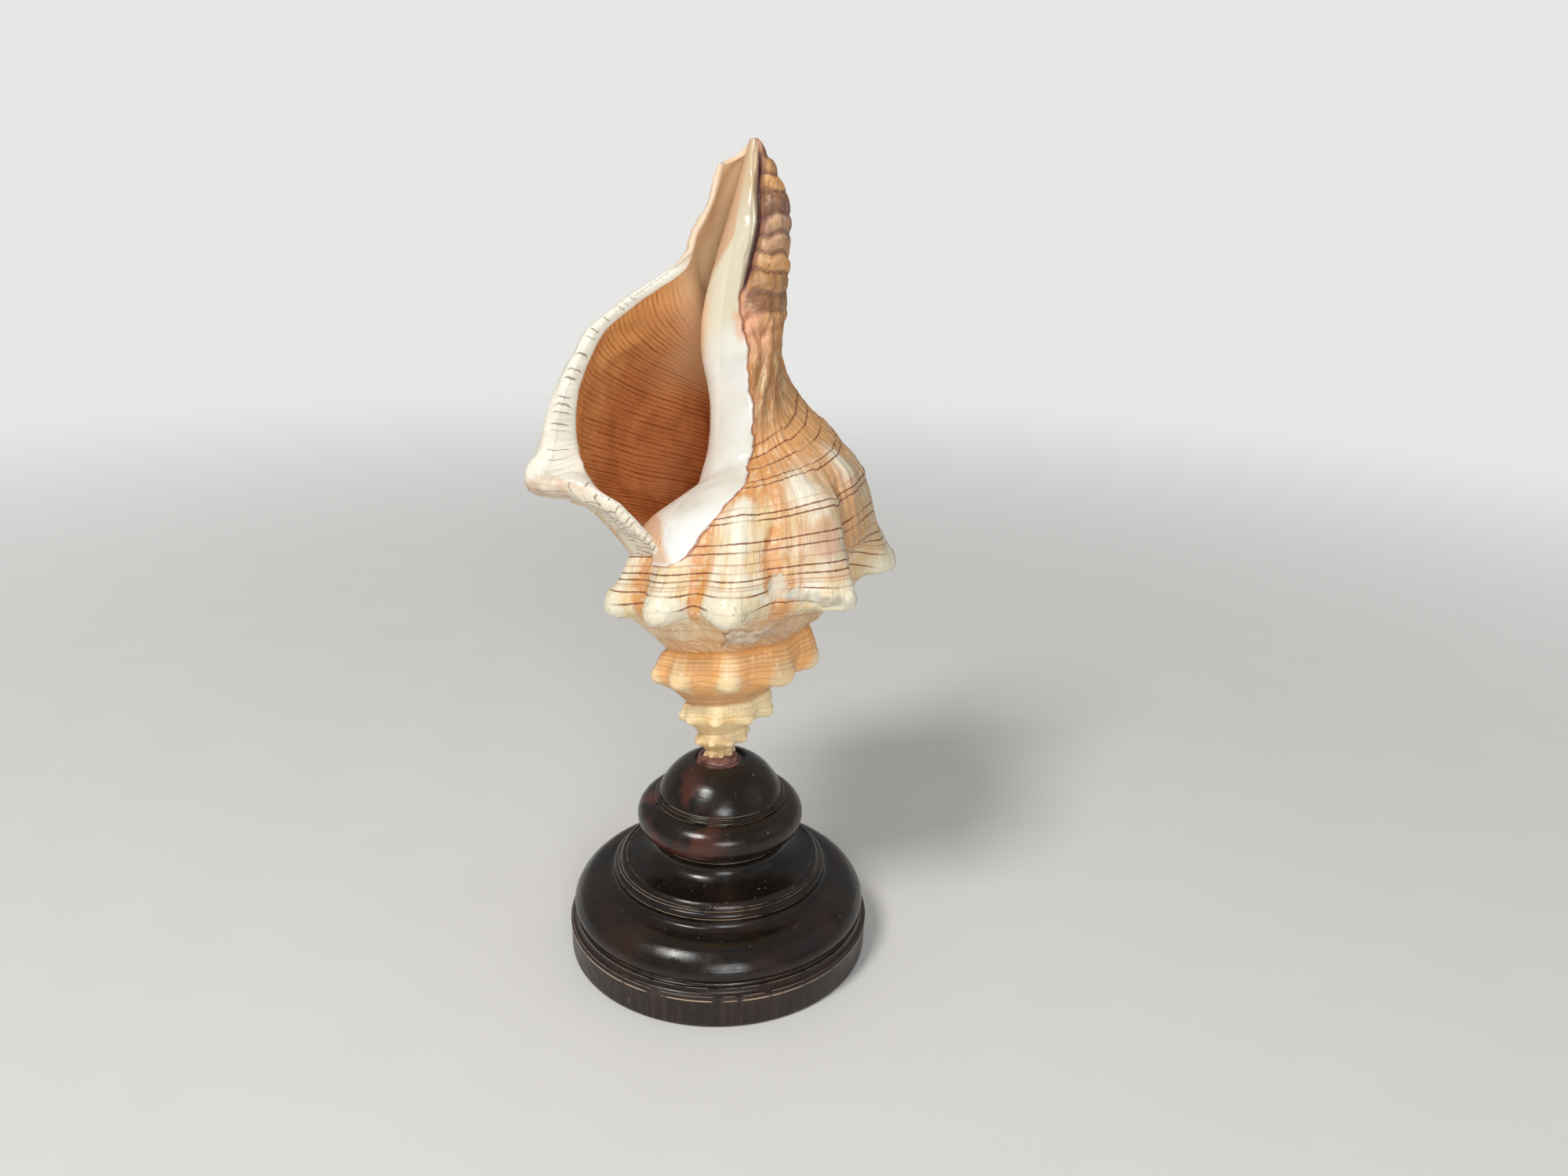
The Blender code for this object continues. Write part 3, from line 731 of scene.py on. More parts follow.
    # the blind side of the canal, the hollow's ceiling and its far end
    blind = np.stack([w[shut, CANAL_AT:], q[shut, stop:]])
    out.grid(blind, (0.975, 0.51, 0.985, 0.7), row=14, face=90, deep=50, kind=1, size=1)
    roof = np.stack([w[shut:, CANAL_AT], q[shut:, stop]], 1)
    out.grid(roof, (0.975, 0.71, 0.985, 0.9), row=13, face=90, deep=50, kind=1, size=1)
    loop = np.concatenate([w[-1, : CANAL_AT + 1], q[-1, : stop + 1][::-1]])
    out.grid(fan(loop, loop.mean(axis=0)), (0.988, 0.004, 0.996, 0.9),
             row=8, face=180, deep=90, kind=1, size=1)
    return out.build("shell_aperture", mat)


# ---------- materials
class Value:
    """A node's output, which may be added, taken away and multiplied."""

    def __init__(self, paint, socket):
        self.paint, self.socket = paint, socket

    def __add__(self, other):
        return self.paint.math("ADD", self, other)

    def __sub__(self, other):
        return self.paint.math("SUBTRACT", self, other)

    def __rsub__(self, other):
        return self.paint.math("SUBTRACT", other, self)

    def __mul__(self, other):
        return self.paint.math("MULTIPLY", self, other)

    def __abs__(self):
        return self.paint.math("ABSOLUTE", self)

    def ramp(self, lo, hi, a=0, b=1):
        """Goes from a to b while the value goes from lo to hi, eased at both ends."""
        n = self.paint.node("MapRange", self, lo, hi, a, b, interpolation_type="SMOOTHSTEP")
        return Value(self.paint, n.outputs[0])

    def span(self, a, b, c, d):
        """Rises from 0 to 1 between a and b and falls again from c to d."""
        return self.ramp(a, b) * self.ramp(d, c)


class Paint:
    """A material whose nodes are put together with short calls."""

    def __init__(self, name):
        self.mat = bpy.data.materials.new(name)
        self.mat.use_nodes = True
        self.tree = self.mat.node_tree
        self.tree.nodes.clear()
        self.bsdf = self.node("BsdfPrincipled")
        self.out = self.node("OutputMaterial", self.bsdf.outputs[0])
        self.color = None

    def put(self, socket, value):
        if isinstance(value, Value):
            value = value.socket
        if isinstance(value, bpy.types.NodeSocket):
            self.tree.links.new(value, socket)
        elif isinstance(value, tuple) and len(value) == 3 and socket.type == "RGBA":
            socket.default_value = (*value, 1)
        else:
            socket.default_value = value

    def node(self, kind, *values, **settings):
        """A new node with these settings, and the values on its first inputs."""
        n = self.tree.nodes.new("ShaderNode" + kind)
        for name, value in settings.items():
            setattr(n, name, value)
        for socket, value in zip(n.inputs, values):
            self.put(socket, value)
        return n

    def fill(self, n, **values):
        """Puts values on a node's named inputs."""
        for name, value in values.items():
            self.put(n.inputs[name.replace("_", " ")], value)
        return n

    def attr(self, name):
        return Value(self, self.node("Attribute", attribute_name=name).outputs["Fac"])

    def attrs(self, names):
        return [self.attr(name) for name in names.split()]

    def math(self, op, *values):
        return Value(self, self.node("Math", *values, operation=op).outputs[0])

    def mix(self, share, a, b):
        n = self.node("Mix", share, data_type="RGBA", clamp_factor=True)
        self.put(n.inputs[6], a)
        self.put(n.inputs[7], b)
        return Value(self, n.outputs[2])

    def layers(self, base, *coats):
        """The base color under coats, each given as its share and its color."""
        for share, tone in coats:
            base = self.mix(share, base, tone)
        return base

    def coat(self, share, tone):
        """Covers the material's own color with a share of another."""
        self.color = self.mix(share, self.color, tone)

    def place(self, scale):
        """Position on the object; scale counts features per metre."""
        where = self.node("TexCoord").outputs["Object"]
        return self.fill(self.node("VectorMath", where, operation="SCALE"), Scale=scale).outputs[0]

    def noise_at(self, where, detail, rough, warp=0):
        n = self.node("TexNoise", where)
        self.fill(n, Scale=1, Detail=detail, Roughness=rough, Distortion=warp)
        return Value(self, n.outputs["Fac"])

    def cloud(self, scale, detail=2, rough=0.5):
        return self.noise_at(self.place(scale), detail, rough)

    def noise(self, x, y, z, detail=2, rough=0.5, warp=0):
        return self.noise_at(self.node("CombineXYZ", x, y, z).outputs[0], detail, rough, warp)

    def nearest(self, x, rows):
        """Distance in mm from the arc length x to the nearest of the rows."""
        best = None
        for row in rows:
            d = abs(x - float(arc_of(row)))
            best = d if best is None else self.math("MINIMUM", best, d)
        return best

    def bump(self, height, distance):
        return self.fill(self.node("Bump"), Strength=1, Distance=distance, Height=height).outputs[0]

    def finish(self, rough, **more):
        self.fill(self.bsdf, Base_Color=self.color, Roughness=rough, **more)
        return self.mat


WHITE = (0.88, 0.835, 0.68)
CREAM = (0.81, 0.62, 0.33)
ORANGE = (0.72, 0.31, 0.085)
TAN = (0.5, 0.27, 0.12)
BROWN_LINE = (0.21, 0.062, 0.022)
BODY_LINES = [4.2, 4.9, 5.62, 6, 6.92, 7.32, 8.27, 8.55, 9.95, 10.25, 11.05, 11.9, 12.5]
FAINT_LINES = [1.3, 2.2, 2.9, 3.45, 5.2, 5.35, 6.4, 8.85]


def ticks(m, arc, away):
    """Short dark arches along the lip's edge; away is the distance from the edge in mm."""
    bent = arc + away * away * 0.25
    warp = m.noise(arc * 0.45, 0, 6, 1)
    ends = (bent + warp * 3) * 0.5
    each = m.math("FLOOR", ends)
    reach = m.noise(each * 5.3, 4, 9, 1)
    there = m.noise(each * 7.7, 0, 2, 1)
    tick = abs(m.math("FRACT", ends) - 0.5)
    tick = tick.ramp(0.11, 0.04) * there.ramp(0.46, 0.51, 0, 0.85)
    return tick * (away - reach * 2.6).ramp(0.3, -0.3)


def outside_material():
    m = Paint("shell_outside")
    turn, row, arc, size, call, knob = m.attrs("turn row arc size call knob")
    slit, fas, fold, near, crest, shelf = m.attrs("slit fas fold near crest shelf")
    spire = turn.ramp(-6, -8.2)
    around = turn * size * 38
    fine_rib = turn * 71 + m.math("SINE", turn * 13) * 1.7
    fine_rib = m.math("SINE", fine_rib + row * 0.5)
    ribbed = row.ramp(7.2, 8.6, 0.25, 0.6) * row.ramp(13.4, 12)
    ribbed *= m.cloud(70, 1).ramp(0.35, 0.65)
    broad = m.noise(around * 0.16, arc * 0.03, 3)
    streak = m.noise(around * 0.8, arc * 0.045, 9, 3)
    hair = m.noise(around * 2.8, arc * 0.09, 5)
    cloud = m.cloud(110, 3)
    patch = m.cloud(45)
    # orange axial bands in the hollows between the folds
    band = broad * 0.62 + streak * 0.62
    band += hair * 0.18
    band += (fold - 0.15) * -0.45
    band += m.attr("furrow") * 0.4
    band -= fine_rib * ribbed * 0.1
    band += row.ramp(8, 11, -0.03, 0.28)
    band += call.ramp(-14, -2) * row.ramp(7.5, 10, 0, 0.16)
    band += spire * 0.3
    band -= knob * spire.ramp(0, 1, 0.9, 0.35)
    orange = band.ramp(0.64, 0.96)
    m.color = m.mix((cloud * 0.6 + streak * 0.4).ramp(0.42, 0.58), CREAM, WHITE)
    tone = m.mix(spire, ORANGE, (0.93, 0.45, 0.135))
    m.coat(spire * 0.6, (0.88, 0.6, 0.29))
    m.coat(orange * 0.88, tone)
    fleck = m.noise(around * 0.9, arc * 0.32, 4)
    fleck = fleck.ramp(0.48, 0.68, 0, 0.5) * (1 - spire * 0.6)
    m.coat(fleck, (0.88, 0.77, 0.52))
    thinned = row.ramp(13, 10, 0.15, 1)
    m.coat(hair.ramp(0.55, 0.85, 0, 0.28) * thinned, TAN)
    # painted shade: the shell grown after the old lip, which faces away from the key light, is tinted
    # tan
    after_step_shade = turn.span(-3.97, -3.85, -3.3, -2.9)
    m.coat(after_step_shade * 0.5, (0.6, 0.37, 0.19))
    shaded = turn.span(-4.6, -4.3, -3.99, -3.97) * row.ramp(4.7, 5.4)
    m.coat(shaded * cloud.ramp(0.35, 0.6, 0.75, 0.3), (0.62, 0.4, 0.23))
    m.coat(patch.ramp(0.48, 0.7, 0, 0.3), (0.8, 0.51, 0.32))
    # pale fold crests are the shell's own colour; the darker hollow is painted shade
    m.coat(crest.ramp(0.05, 0.9, 0, 0.75), (0.88, 0.86, 0.72))
    m.coat(crest.ramp(-0.75, -0.1, 0.75, 0), (0.58, 0.325, 0.195))
    waist = row.span(10.2, 11.4, 12.8, 14)
    m.coat(waist * streak.ramp(0.35, 0.6, 0.55, 0.2), (0.66, 0.31, 0.085))
    tip = turn.ramp(-12, -16.5)
    m.coat(tip * 0.85, m.mix(cloud.ramp(0.4, 0.6), (1, 0.87, 0.54), (0.97, 0.71, 0.35)))
    slant = m.noise(around + arc * 0.7, arc * 0.1, 7)
    shadow = turn.span(-4.85, -4.6, -4, -3.6)
    m.coat(row.ramp(3.5, 2.6) * (1 - spire) * 0.85, m.layers(
        (0.75, 0.48, 0.25),
        (streak.ramp(0.3, 0.7), (0.92, 0.73, 0.48)),
        (row.ramp(1.7, 1.2) * slant.ramp(0.4, 0.6), (0.66, 0.33, 0.13)),
        (shadow * slant.ramp(0.35, 0.6, 0.5, 0.75), (0.52, 0.29, 0.165))))
    pale = m.layers(
        (0.8, 0.705, 0.48),
        (cloud.ramp(0.3, 0.6), (0.9, 0.84, 0.66)),
        (spire, (0.91, 0.68, 0.39)))
    pale_knob = m.mix(spire, knob.ramp(0.3, 0.8), knob.ramp(0.1, 1, 0, 0.65))
    m.coat(pale_knob, pale)
    # painted shade: the spire's ramp under its knobs, which faces down, is darkened
    below = row.ramp(3, 1.6) * slant.ramp(0.35, 0.6, 0.4, 0.85) * spire
    m.coat(below * (1 - tip * 0.6), (0.5, 0.27, 0.14))
    pits = m.cloud(520, 1).ramp(0.66, 0.72) * knob.ramp(0.5, 0.9)
    m.coat(pits * 0.5, (0.33, 0.28, 0.2))
    # brown spiral lines, which break off and start again
    drift = m.noise(around * 0.1, 0, 1)
    x = arc + (drift - 0.5)
    dark = m.nearest(x, BODY_LINES)
    faint = m.nearest(x, FAINT_LINES)
    gaps = m.noise(around * 0.11, arc * 0.8, 2)
    thin = hair.ramp(0.3, 0.7, 0.7, 1.15) * 0.135
    line = (dark * size).ramp(thin, thin * 2.1, 1, 0)
    line *= gaps.ramp(0.31, 0.5, 0.15, 0.92)
    line *= 1 - spire * 0.72
    line *= knob.ramp(0.35, 0.75, 1, 0.12)
    m.coat(line * row.ramp(13.2, 12.2), BROWN_LINE)
    line2 = (faint * size).ramp(0.3, 0.09)
    line2 *= gaps.ramp(0.35, 0.6, 0.1, 0.55)
    line2 *= spire.ramp(0, 1, 1, 0.75) - tip * 0.5
    m.coat(line2 * row.ramp(13.2, 12.2), (0.42, 0.16, 0.06))
    # dark wavy ends of the spiral lines on the ramp by the lip
    wavy = arc + around * row.ramp(0.5, 2.5, 0.28, 0.5)
    wavy += m.noise(around * 0.4, arc * 0.5, 3, 2, 0.6) * 0.9
    wavy -= near.ramp(0.9, 1)
    step = wavy * 0.6
    each = m.math("FLOOR", step)
    some = m.noise(each * 3.7, around * 0.3, 5, 1)
    length = m.noise(each * 7.3, 1, 2, 1)
    stroke = abs(m.math("FRACT", step) - 0.5)
    stroke = (stroke + row.ramp(2, 3, 0, 0.065)).ramp(0.05, 0.15, 0.9, 0)
    stroke *= (near + length * -0.9).ramp(-0.1, 0.05)
    stroke *= some.ramp(0.34, 0.48, 0.15, 1) * row.ramp(3.9, 3.3)
    # short hooked ticks where the lines of the side reach the lip
    away = m.math("SQRT", (1 - near) * 84)
    tick = ticks(m, arc - 1.1, away)
    tick *= row.span(4.6, 5, 9, 11)
    stroke = m.math("MAXIMUM", stroke, tick)
    m.coat(near.ramp(0.05, 0.5) * 0.92, m.layers(
        (0.82, 0.75, 0.62),
        (row.ramp(3.6, 4.2), (0.88, 0.84, 0.73)),
        (row.span(2.6, 3.2, 3.6, 4) * cloud.ramp(0.4, 0.55, 0.2, 0.8), (0.66, 0.44, 0.31)),
        (row.span(4.7, 5, 5.8, 6.4) * patch.ramp(0.4, 0.6, 0.1, 0.5),
         m.mix(near.ramp(0.7, 1), (0.8, 0.69, 0.4), (0.88, 0.84, 0.73))),
        (row.ramp(11.4, 13), (0.9, 0.7, 0.51))))
    m.coat(stroke, (0.27, 0.22, 0.145))
    # neck: irregular cream, orange and brown streaks
    drip = m.noise(around * 0.2, arc * 0.2, 2, 3, 0.6, 0.8)
    drip2 = m.noise(around * 0.3, arc * 0.15, 8, 3, 0.6, 1)
    crack = abs(drip2 - 0.52)
    m.coat(row.ramp(12, 13.8, 0, 0.9) * (1 - near.ramp(0.3, 0.8)), m.layers(
        (0.52, 0.225, 0.065),
        (drip.ramp(0.45, 0.56), (0.67, 0.46, 0.24)),
        (drip2.ramp(0.46, 0.6, 0, 0.75), (0.34, 0.165, 0.07)),
        (crack.ramp(0.004, 0.022, 0.8, 0), (0.22, 0.1, 0.045)),
        (row.ramp(15, 15.8) * call.ramp(-6.5, -3.5), (0.68, 0.33, 0.18))))
    plate = m.noise(arc * 0.33, around * 0.12, 5)
    lines = m.noise(arc * 2.6, around * 0.22, 1, 3, 0.65, 0.8)
    mid = row.span(16.9, 17.4, 17.8, 18.1)
    dull = m.mix(mid, (0.26, 0.12, 0.055), (0.25, 0.12, 0.085))
    tanned = m.mix(mid, (0.73, 0.385, 0.145), (0.69, 0.41, 0.235))
    pale_plate = m.attr("tone") + (plate - 0.5) * 1.6
    m.coat(fas, m.layers(
        dull,
        (pale_plate.ramp(0.1, 0.95), tanned),
        (lines.ramp(0.5, 0.66, 0, 0.45), (0.66, 0.47, 0.35)),
        (lines.ramp(0.48, 0.34, 0, 0.55), (0.26, 0.11, 0.055)),
        (m.attr("lam").ramp(0.6, 0.15, 0, 0.65), (0.2, 0.085, 0.05)),
        (m.attr("shade").ramp(0.1, 0.9, 0, 0.75), (0.14, 0.06, 0.045))))
    # broken, chalky patches
    chalky = m.attr("chalk") * m.cloud(420, 3).ramp(0.3, 0.6, 0.6, 1)
    m.coat(chalky, m.mix(cloud.ramp(0.4, 0.6), (0.44, 0.4, 0.31), (0.68, 0.64, 0.52)))
    # the broken shelf under the old lip, with a dark outline
    shelf_tone = m.mix(m.cloud(260, 3).ramp(0.38, 0.62), (0.52, 0.38, 0.27), (0.77, 0.68, 0.55))
    m.coat(shelf.ramp(0.5, 0.85, 0, 0.85), shelf_tone)
    outline = abs(shelf - 0.4).ramp(0.12, 0.34, 0.6, 0)
    outline *= turn.ramp(-4.6, -4.78)
    m.coat(outline, (0.25, 0.14, 0.09))
    # callus
    inside = call.ramp(-0.05, 0.05)
    pearl = m.cloud(90, 3)
    m.coat(inside, m.layers(
        (0.73, 0.71, 0.63),
        (pearl.ramp(0.35, 0.65), (0.83, 0.825, 0.765)),
        (m.cloud(60).ramp(0.55, 0.75, 0, 0.4), (0.78, 0.66, 0.57)),
        (m.cloud(75).ramp(0.5, 0.7, 0, 0.35), (0.74, 0.73, 0.79)),
        (row.ramp(9.5, 8), (0.87, 0.885, 0.85)),
        (row.ramp(15.6, 16.6), (0.67, 0.605, 0.445)),
        (row.ramp(17.7, 18.4), (0.66, 0.5, 0.325)),
        (m.attr("warm"), (0.78, 0.54, 0.37))))
    glow = row.span(14, 14.8, 15.6, 16.6) * call.ramp(5.5, 8)
    m.coat(glow * pearl.ramp(0.35, 0.6, 0.3, 0.8), (0.8, 0.56, 0.33))
    salmon = row.span(15.75, 16, 16.3, 16.55) * call.span(-4.5, -2, 0.6, 2.4)
    m.coat(salmon * 0.75, (0.74, 0.38, 0.23))
    rim = abs(call + 0.12).ramp(0.42, 0.12)
    rim *= m.cloud(160).ramp(0.3, 0.6, 0.35, 1)
    m.coat(rim * 0.8, (0.36, 0.12, 0.055))
    # painted shade: the slit between the blade and the fasciole is painted dark brown
    m.coat(slit.ramp(0.25, 0.8), (0.11, 0.045, 0.04))
    rough = cloud.ramp(0.3, 0.7, 0.27, 0.42)
    rough -= inside * 0.2
    rough += chalky * 0.3
    rough += fas * 0.15
    height = hair * thinned + m.cloud(800, 3)
    height += fine_rib * ribbed * 0.6
    height += fleck * 0.5
    height += streak * thinned * 1.3
    height *= 1 - fas * 0.95
    height += lines * fas * 1.6
    height -= pits * 0.6
    height *= 1 - inside * 0.9
    height += pearl * inside * 2.2
    return m.finish(rough, Normal=m.bump(height, 0.00022))


def mouth_material():
    m = Paint("shell_mouth")
    turn, row, arc, deep, face = m.attrs("turn row arc deep face")
    lining = m.attr("kind").ramp(1.4, 1.6)
    cloud = m.cloud(60)
    fine = m.cloud(420, 3)
    # orange glaze with darker spiral lirae; painted light makes it brighter near the lip and near the
    # top of the mouth, and painted shade makes it darker deeper in
    axial = m.noise(turn * 5, arc * 0.05, 2)
    axial = axial.ramp(0.42, 0.62, 0, 0.45) * deep.ramp(9, 16) * row.ramp(10.5, 9)
    shift = cloud * 0.8 + deep.ramp(8, 40, 0, 2.3)
    orange = m.layers(
        (1, 0.52, 0.19),
        (deep.ramp(12, 30), (0.81, 0.33, 0.115)),
        (cloud.ramp(0.42, 0.66, 0, 0.4), (0.52, 0.19, 0.07)),
        (axial, (0.46, 0.15, 0.055)),
        ((row + shift).ramp(10.4, 12.2, 0, 0.85), (0.88, 0.45, 0.195)))
    sway = m.noise(turn * 1.6, arc * 0.22, 0)
    phase = arc * (TURN / 1.4) + sway * 7
    wave = m.math("SINE", phase)
    lira = (wave - deep.ramp(3, 14, 0.05, 0.1)).ramp(0, 0.9)
    lira_fade = m.noise(turn * 2.6, arc * 0.8, 4).ramp(0.36, 0.62, 0.22, 1)
    lira_fade *= deep.ramp(6, 34, 1, 0.8)
    lira *= lira_fade
    lira *= (row + deep.ramp(8, 30, 0, 1.4)).ramp(12.6, 11.2)
    lira *= row.ramp(0.9, 2)
    # painted shade: the lirae darken deeper in
    orange = m.mix(lira * deep.ramp(10, 24, 0.75, 0.95), orange,
                   m.mix(deep.ramp(8, 26), (0.5, 0.135, 0.035), (0.25, 0.065, 0.022)))
    # painted light and shade: the wall's peach is made brighter against the shade it lies in, and the
    # lining's peach darker as painted shade
    peach = m.layers(
        (1, 0.78, 0.5),
        (fine.ramp(0.3, 0.7), (1, 0.73, 0.45)),
        (lining, (0.64, 0.42, 0.26)))
    m.color = m.mix((row + shift).ramp(11.4, 13.3), orange, peach)
    m.coat(row.ramp(2, 1.2), (0.78, 0.52, 0.33))
    # white face of the lip
    white = m.mix(m.cloud(140, 3).ramp(0.3, 0.7), (0.86, 0.8, 0.68), (0.9, 0.87, 0.76))
    edge = face + (m.cloud(300) - 0.5) * 0.2
    on_face = edge.ramp(1.12, 1) * row.ramp(0.55, 0.95)
    white = m.layers(
        white,
        (row.ramp(3.7, 3), (0.74, 0.69, 0.6)),
        (row.ramp(11.8, 13.2), (0.86, 0.64, 0.45)))
    # ends of the spiral lines, hooked over the lip's edge
    dash = ticks(m, arc, face * 3.2)
    dash *= (row.ramp(3.6, 3.3) + row.ramp(4.4, 4.9)) * row.ramp(11.5, 9.5)
    white = m.mix(dash, white, (0.19, 0.15, 0.1))
    m.coat(abs(edge - 1.13).ramp(0, 0.1, 0.5, 0), (0.45, 0.25, 0.19))
    m.coat(on_face, white)
    # the lining is glazed white near the mouth
    glaze = (0.83, 0.805, 0.725)
    near = face - row.ramp(9.2, 10, 0, 24)
    near = near.ramp(42, 26)
    blade = m.layers(
        glaze,
        (row.ramp(15.4, 16.6), (0.73, 0.665, 0.51)),
        (row.ramp(17.7, 18.4), (0.67, 0.51, 0.335)))
    side = m.mix(near, orange, m.mix(m.attr("warm"), blade, (0.78, 0.54, 0.37)))
    warm = face.ramp(9, 26) * row.ramp(15.5, 16.1) * row.ramp(17, 16.5)
    glow = m.mix(warm * 0.8, blade, (0.86, 0.55, 0.3))
    side = m.mix(row.ramp(11.5, 13.5), side,
                 m.mix((face + row.ramp(14.8, 15.6, -26, 0)).ramp(24, 60), glow, peach))
    high = (face - row.ramp(17, 18.6, 22, -58)).ramp(-4, 8)
    side = m.mix(high * row.ramp(16.8, 17.2), side, peach)
    m.coat(lining, side)
    rough = fine.ramp(0.3, 0.7, 0.26, 0.36)
    ridged = row.ramp(10.8, 12.4, 0.6, 0) * (1 - lining)
    height = wave * ridged + fine * 0.5
    return m.finish(rough, Normal=m.bump(height, 0.00006))


def wood_material():
    m = Paint("ebonised_wood_worn")
    where = m.node("SeparateXYZ", m.node("TexCoord").outputs["Object"])
    x, y, z = [Value(m, socket) for socket in where.outputs]
    worn = m.attr("worn")
    cloud = m.cloud(60, 3)
    grainy = m.cloud(420, 4, 0.6)
    # turning marks run round, so they depend on height and radius alone
    radius = m.math("SQRT", x * x + y * y)
    marks = m.noise(radius * 1500, z * 1500, 0)
    fibre = m.noise(x * 1300, y * 1300, z * 90, 3)
    m.color = m.mix(cloud.ramp(0.48, 0.72), (0.009, 0.0065, 0.005), (0.026, 0.012, 0.008))
    # painted sheen: the upper turning is tinted red on its left front, the side toward the key light
    red_sheen = z.ramp(0.03, 0.036) * (x + y * 0.4).ramp(-0.003, -0.014)
    red_sheen *= m.cloud(110).ramp(0.42, 0.6)
    m.coat(red_sheen * 0.9, (0.085, 0.025, 0.017))
    m.coat(grainy.ramp(0.55, 0.8, 0, 0.4), (0.032, 0.016, 0.011))
    low = z.ramp(0.0105, 0.0075)
    side = m.mix(fibre.ramp(0.4, 0.7), (0.016, 0.008, 0.006), (0.045, 0.022, 0.016))
    m.coat(low * 0.8, side)
    scuff = m.cloud(230, 3)
    # worn creases are pale; painted highlight makes them brighter on the left front, toward the key
    # light
    glint_side = (x + y * 0.6).ramp(0.012, -0.012, 0.35, 1)
    edge = worn.ramp(0.15, 0.75) * scuff.ramp(0.34, 0.5)
    m.coat(edge * glint_side, (0.55, 0.4, 0.28))
    nick = m.noise(x * 900, y * 900, z * 110, 1)
    nick = nick.ramp(0.755, 0.78)
    m.coat(nick * 0.6, (0.3, 0.17, 0.12))
    rough = grainy.ramp(0.3, 0.7, 0.17, 0.3)
    rough += low * 0.14
    height = grainy * 0.5 + marks * 0.6
    height += fibre * low * 1.2
    height -= nick
    return m.finish(rough, Normal=m.bump(height, 0.00005), Specular_IOR_Level=0.42)


def resin_material():
    m = Paint("seat_resin_dark")
    cloud = m.cloud(300, 3)
    m.color = m.mix(cloud.ramp(0.4, 0.7), (0.07, 0.025, 0.02), (0.26, 0.12, 0.1))
    return m.finish(cloud.ramp(0.3, 0.7, 0.16, 0.34), Normal=m.bump(cloud, 0.0002))


# ---------- the stand
# runs of (radius, height) in mm down the turning; each starts, with a crease, where the last ended
STAND_RUNS = [
    [(0.1, 50.2), (5.8, 50.2), (6.1, 50.35)],
    [(6.25, 50.7), (6.6, 50.9), (7.4, 50.75), (9.2, 49.9), (11.8, 47.9), (13.9, 45.3),
     (15, 43.3), (15.3, 42.4)],
    [(15.7, 42.4), (15.95, 42.1), (15.8, 41.75)],
    [(16.25, 41.6), (16.5, 41.2), (16.35, 40.85)],
    [(17.4, 40.75), (18.9, 39.9), (20.2, 38.3), (20.7, 36.2), (20.2, 34), (18.7, 32.3),
     (17.1, 31.4)],
    [(16.7, 31), (16.75, 30.7)],
    [(16.15, 29.4), (16.4, 27.9), (17.7, 26.4), (20.2, 25.2), (22.8, 24.7), (23.7, 24.65)],
    [(24, 24.95), (24.5, 24.85), (25, 24.3), (25.3, 23.8)],
    [(25.75, 23.75), (25.85, 23.35)],
    [(26.4, 23), (26.75, 22.4), (26.65, 21.8)],
    [(26.6, 20.4), (27.3, 19.4), (28.8, 18.9), (30.9, 18.7), (33.2, 18), (35.3, 16.2),
     (36.6, 14), (36.8, 12.6), (36.3, 11.3), (35.7, 10.6)],
    [(36, 10.2), (36.5, 10)],
    [(36.6, 9.5), (36.9, 8.85), (37.6, 8.4)],
    [(37.9, 8.3), (38, 8), (37.97, 7.6)],
    [(37.85, 4), (37.8, 0.8), (37.4, 0.15), (37, 0)],
    [(0.1, 0)],
]
SEAT_AT = (-0.7, 0.4)
SEAT_RUNS = [
    [(2.6, 52.3), (3.3, 51.75), (4.1, 51.55), (4.8, 51.4), (5.15, 50.9), (5.2, 50.5),
     (5.7, 50.25), (5.9, 49.6), (5.7, 49)],
    [(2, 49)],
]


def curve_through(run, parts=5):
    """Points of a smooth curve through the points of one run."""
    if len(run) == 2:
        return run
    p = np.array([run[0]] + run + [run[-1]], float)
    steps = [(i, u) for i in range(len(p) - 3) for u in np.arange(parts) / parts]
    return [eased(*p[i: i + 4], u) for i, u in steps] + [p[-2]]


def lathe(name, runs, steps, mat, at=(0, 0)):
    """Sweeps the runs round a vertical axis; 'worn' is 1 at each crease between runs."""
    rings = curve_through(runs[0])
    worn = [0.0] * len(rings)
    for before, run in zip(runs, runs[1:]):
        pts = curve_through([before[-1]] + run)[1:]
        worn[-1] = 1.0
        rings += pts
        worn += [0.0] * len(pts)
    creases = [i for i, v in enumerate(worn) if v]
    ang = np.linspace(0, TURN, steps, endpoint=False)
    rz = np.array(rings) * MM
    wobble = 1 + 0.0012 * np.sin(2 * ang + 0.6)
    x = rz[:, :1] * np.cos(ang) * wobble + at[0] * MM
    y = rz[:, :1] * np.sin(ang) * wobble + at[1] * MM
    z = np.broadcast_to(rz[:, 1:], x.shape)
    idx = np.arange(len(rings) * steps).reshape(len(rings), steps)
    nxt = np.roll(idx, -1, axis=1)
    faces = np.stack([idx[:-1], idx[1:], nxt[1:], nxt[:-1]], -1).reshape(-1, 4).tolist()
    wear = {"worn": np.repeat(np.array(worn), steps)}
    mesh = add_mesh(name, np.stack([x, y, z], -1), faces, mat, wear)
    sharp = mesh.attributes.new("sharp_edge", "BOOLEAN", "EDGE")
    pairs = np.empty(2 * len(mesh.edges), dtype=np.int32)
    mesh.edges.foreach_get("vertices", pairs)
    ring_of = pairs.reshape(-1, 2) // steps
    hard = (ring_of[:, 0] == ring_of[:, 1]) & np.isin(ring_of[:, 0], creases)
    sharp.data.foreach_set("value", hard)
    return add(name, mesh)


# ---------- the pieces
outside = outside_material()
shell_pieces = [
    whorl_mesh(outside),
    spire_mesh(outside),
    mouth_mesh(mouth_material()),
]
for piece in shell_pieces:
    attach(piece, "root")
    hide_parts("shell")

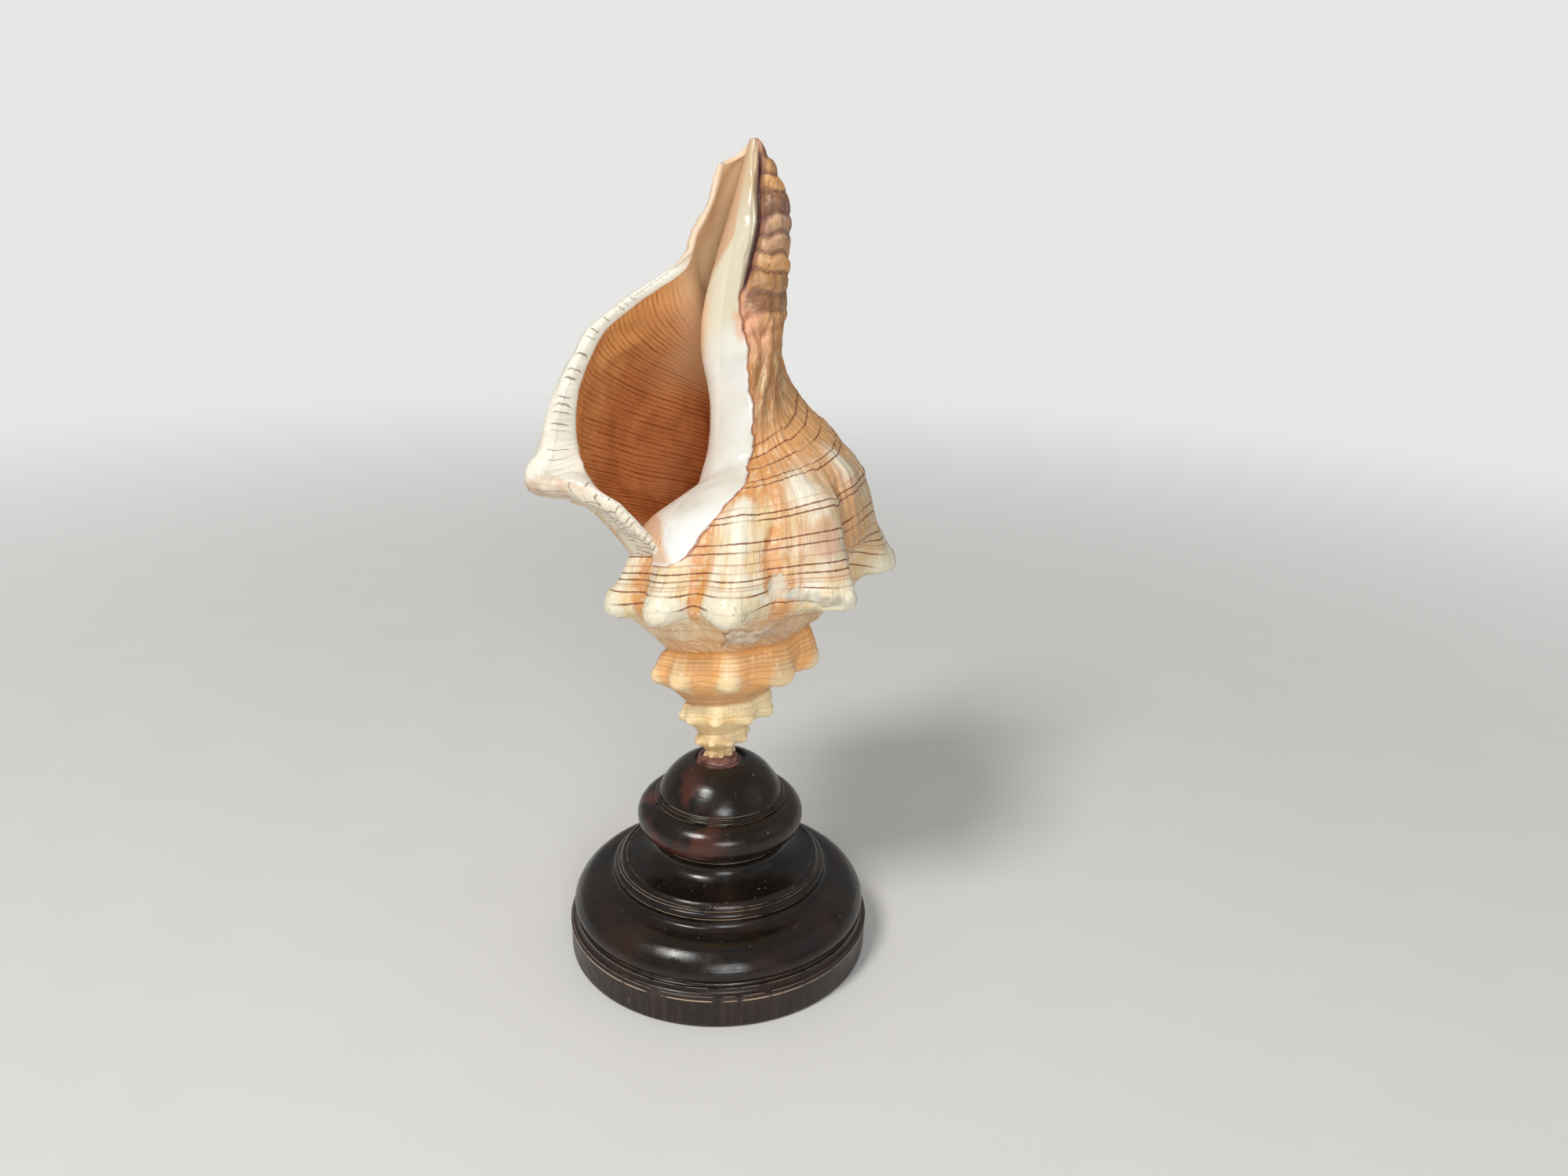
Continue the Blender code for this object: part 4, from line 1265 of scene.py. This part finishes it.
stand = lathe("turned_stand", STAND_RUNS, 144, wood_material())
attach(stand, "root")
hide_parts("stand")
seat = lathe("resin_seat", SEAT_RUNS, 72, resin_material(), SEAT_AT)
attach(seat, "root")
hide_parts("seat")

# ---------- floor, light, camera
PALE = (0.8, 0.8, 0.79)
FLOOR = 12.0 * np.array([(-1, -1, 0), (1, -1, 0), (1, 1, 0), (-1, 1, 0)])
fp = Paint("floor_pale")
fp.color = PALE
fp.finish(fp.cloud(40).ramp(0.3, 0.7, 0.55, 0.7))
glow = fp.node("Emission", PALE)
away = Value(fp, fp.node("VectorMath", fp.place(1), operation="LENGTH").outputs["Value"])
seen_far = away.ramp(0.15, 0.9) * fp.node("LightPath").outputs["Is Camera Ray"]
blend = fp.node("MixShader", seen_far, fp.bsdf.outputs[0], glow.outputs[0])
fp.put(fp.out.inputs[0], blend.outputs[0])
floor = add("floor", add_mesh("floor", FLOOR, [(0, 1, 2, 3)], fp.mat, {}))

world = bpy.data.worlds.new("studio")
bpy.context.scene.world = world
world.use_nodes = True
tree = world.node_tree
sky = tree.nodes["Background"]
sky.inputs[0].default_value = (1, 0.99, 0.97, 1)
sky.inputs[1].default_value = 0.31
seen = tree.nodes.new("ShaderNodeBackground")
seen.inputs[0].default_value = (*PALE, 1)
path = tree.nodes.new("ShaderNodeLightPath")
either = tree.nodes.new("ShaderNodeMixShader")
for k, output in enumerate([path.outputs["Is Camera Ray"], sky.outputs[0], seen.outputs[0]]):
    tree.links.new(output, either.inputs[k])
tree.links.new(either.outputs[0], tree.nodes["World Output"].inputs[0])


def lamp(name, at, toward, size, watts, color=(1, 1, 1)):
    light = bpy.data.lights.new(name, "AREA")
    light.shape = "DISK"
    light.size = size
    light.energy = watts
    light.color = color
    obj = add(name, light)
    obj.location = at
    obj.rotation_euler = (Vector(toward) - Vector(at)).to_track_quat("-Z", "Y").to_euler()


MIDDLE = (0, 0, 0.11)
lamp("key", (-0.52, -0.56, 1.02), MIDDLE, 0.34, 8.3, (1, 0.98, 0.95))
lamp("front", (0.14, -1, 0.42), MIDDLE, 0.42, 3.7)
lamp("side", (1, -0.25, 0.6), MIDDLE, 0.8, 0.35, (0.96, 0.98, 1))

U = 0.038
HEIGHT, DISTANCE = 4.91 * U, 6.94 * U
PITCH, YAW, ROLL = math.radians(19), math.radians(3.16), math.radians(1.64)
fw = Vector((math.sin(YAW) * math.cos(PITCH), math.cos(YAW) * math.cos(PITCH), -math.sin(PITCH)))
right = fw.cross(Vector((0, 0, 1))).normalized()
up = right.cross(fw)
across = math.cos(ROLL) * right + math.sin(ROLL) * up
upward = -math.sin(ROLL) * right + math.cos(ROLL) * up
cam = bpy.data.cameras.new("camera")
cam.lens = 27
cam.sensor_width = 36
cam.clip_start = 0.01
camera = add("camera", cam)
turned = Matrix((across, upward, -fw)).transposed().to_4x4()
camera.matrix_world = Matrix.Translation((0, -DISTANCE, HEIGHT)) @ turned
bpy.context.scene.camera = camera
bpy.context.scene.view_settings.view_transform = "Standard"
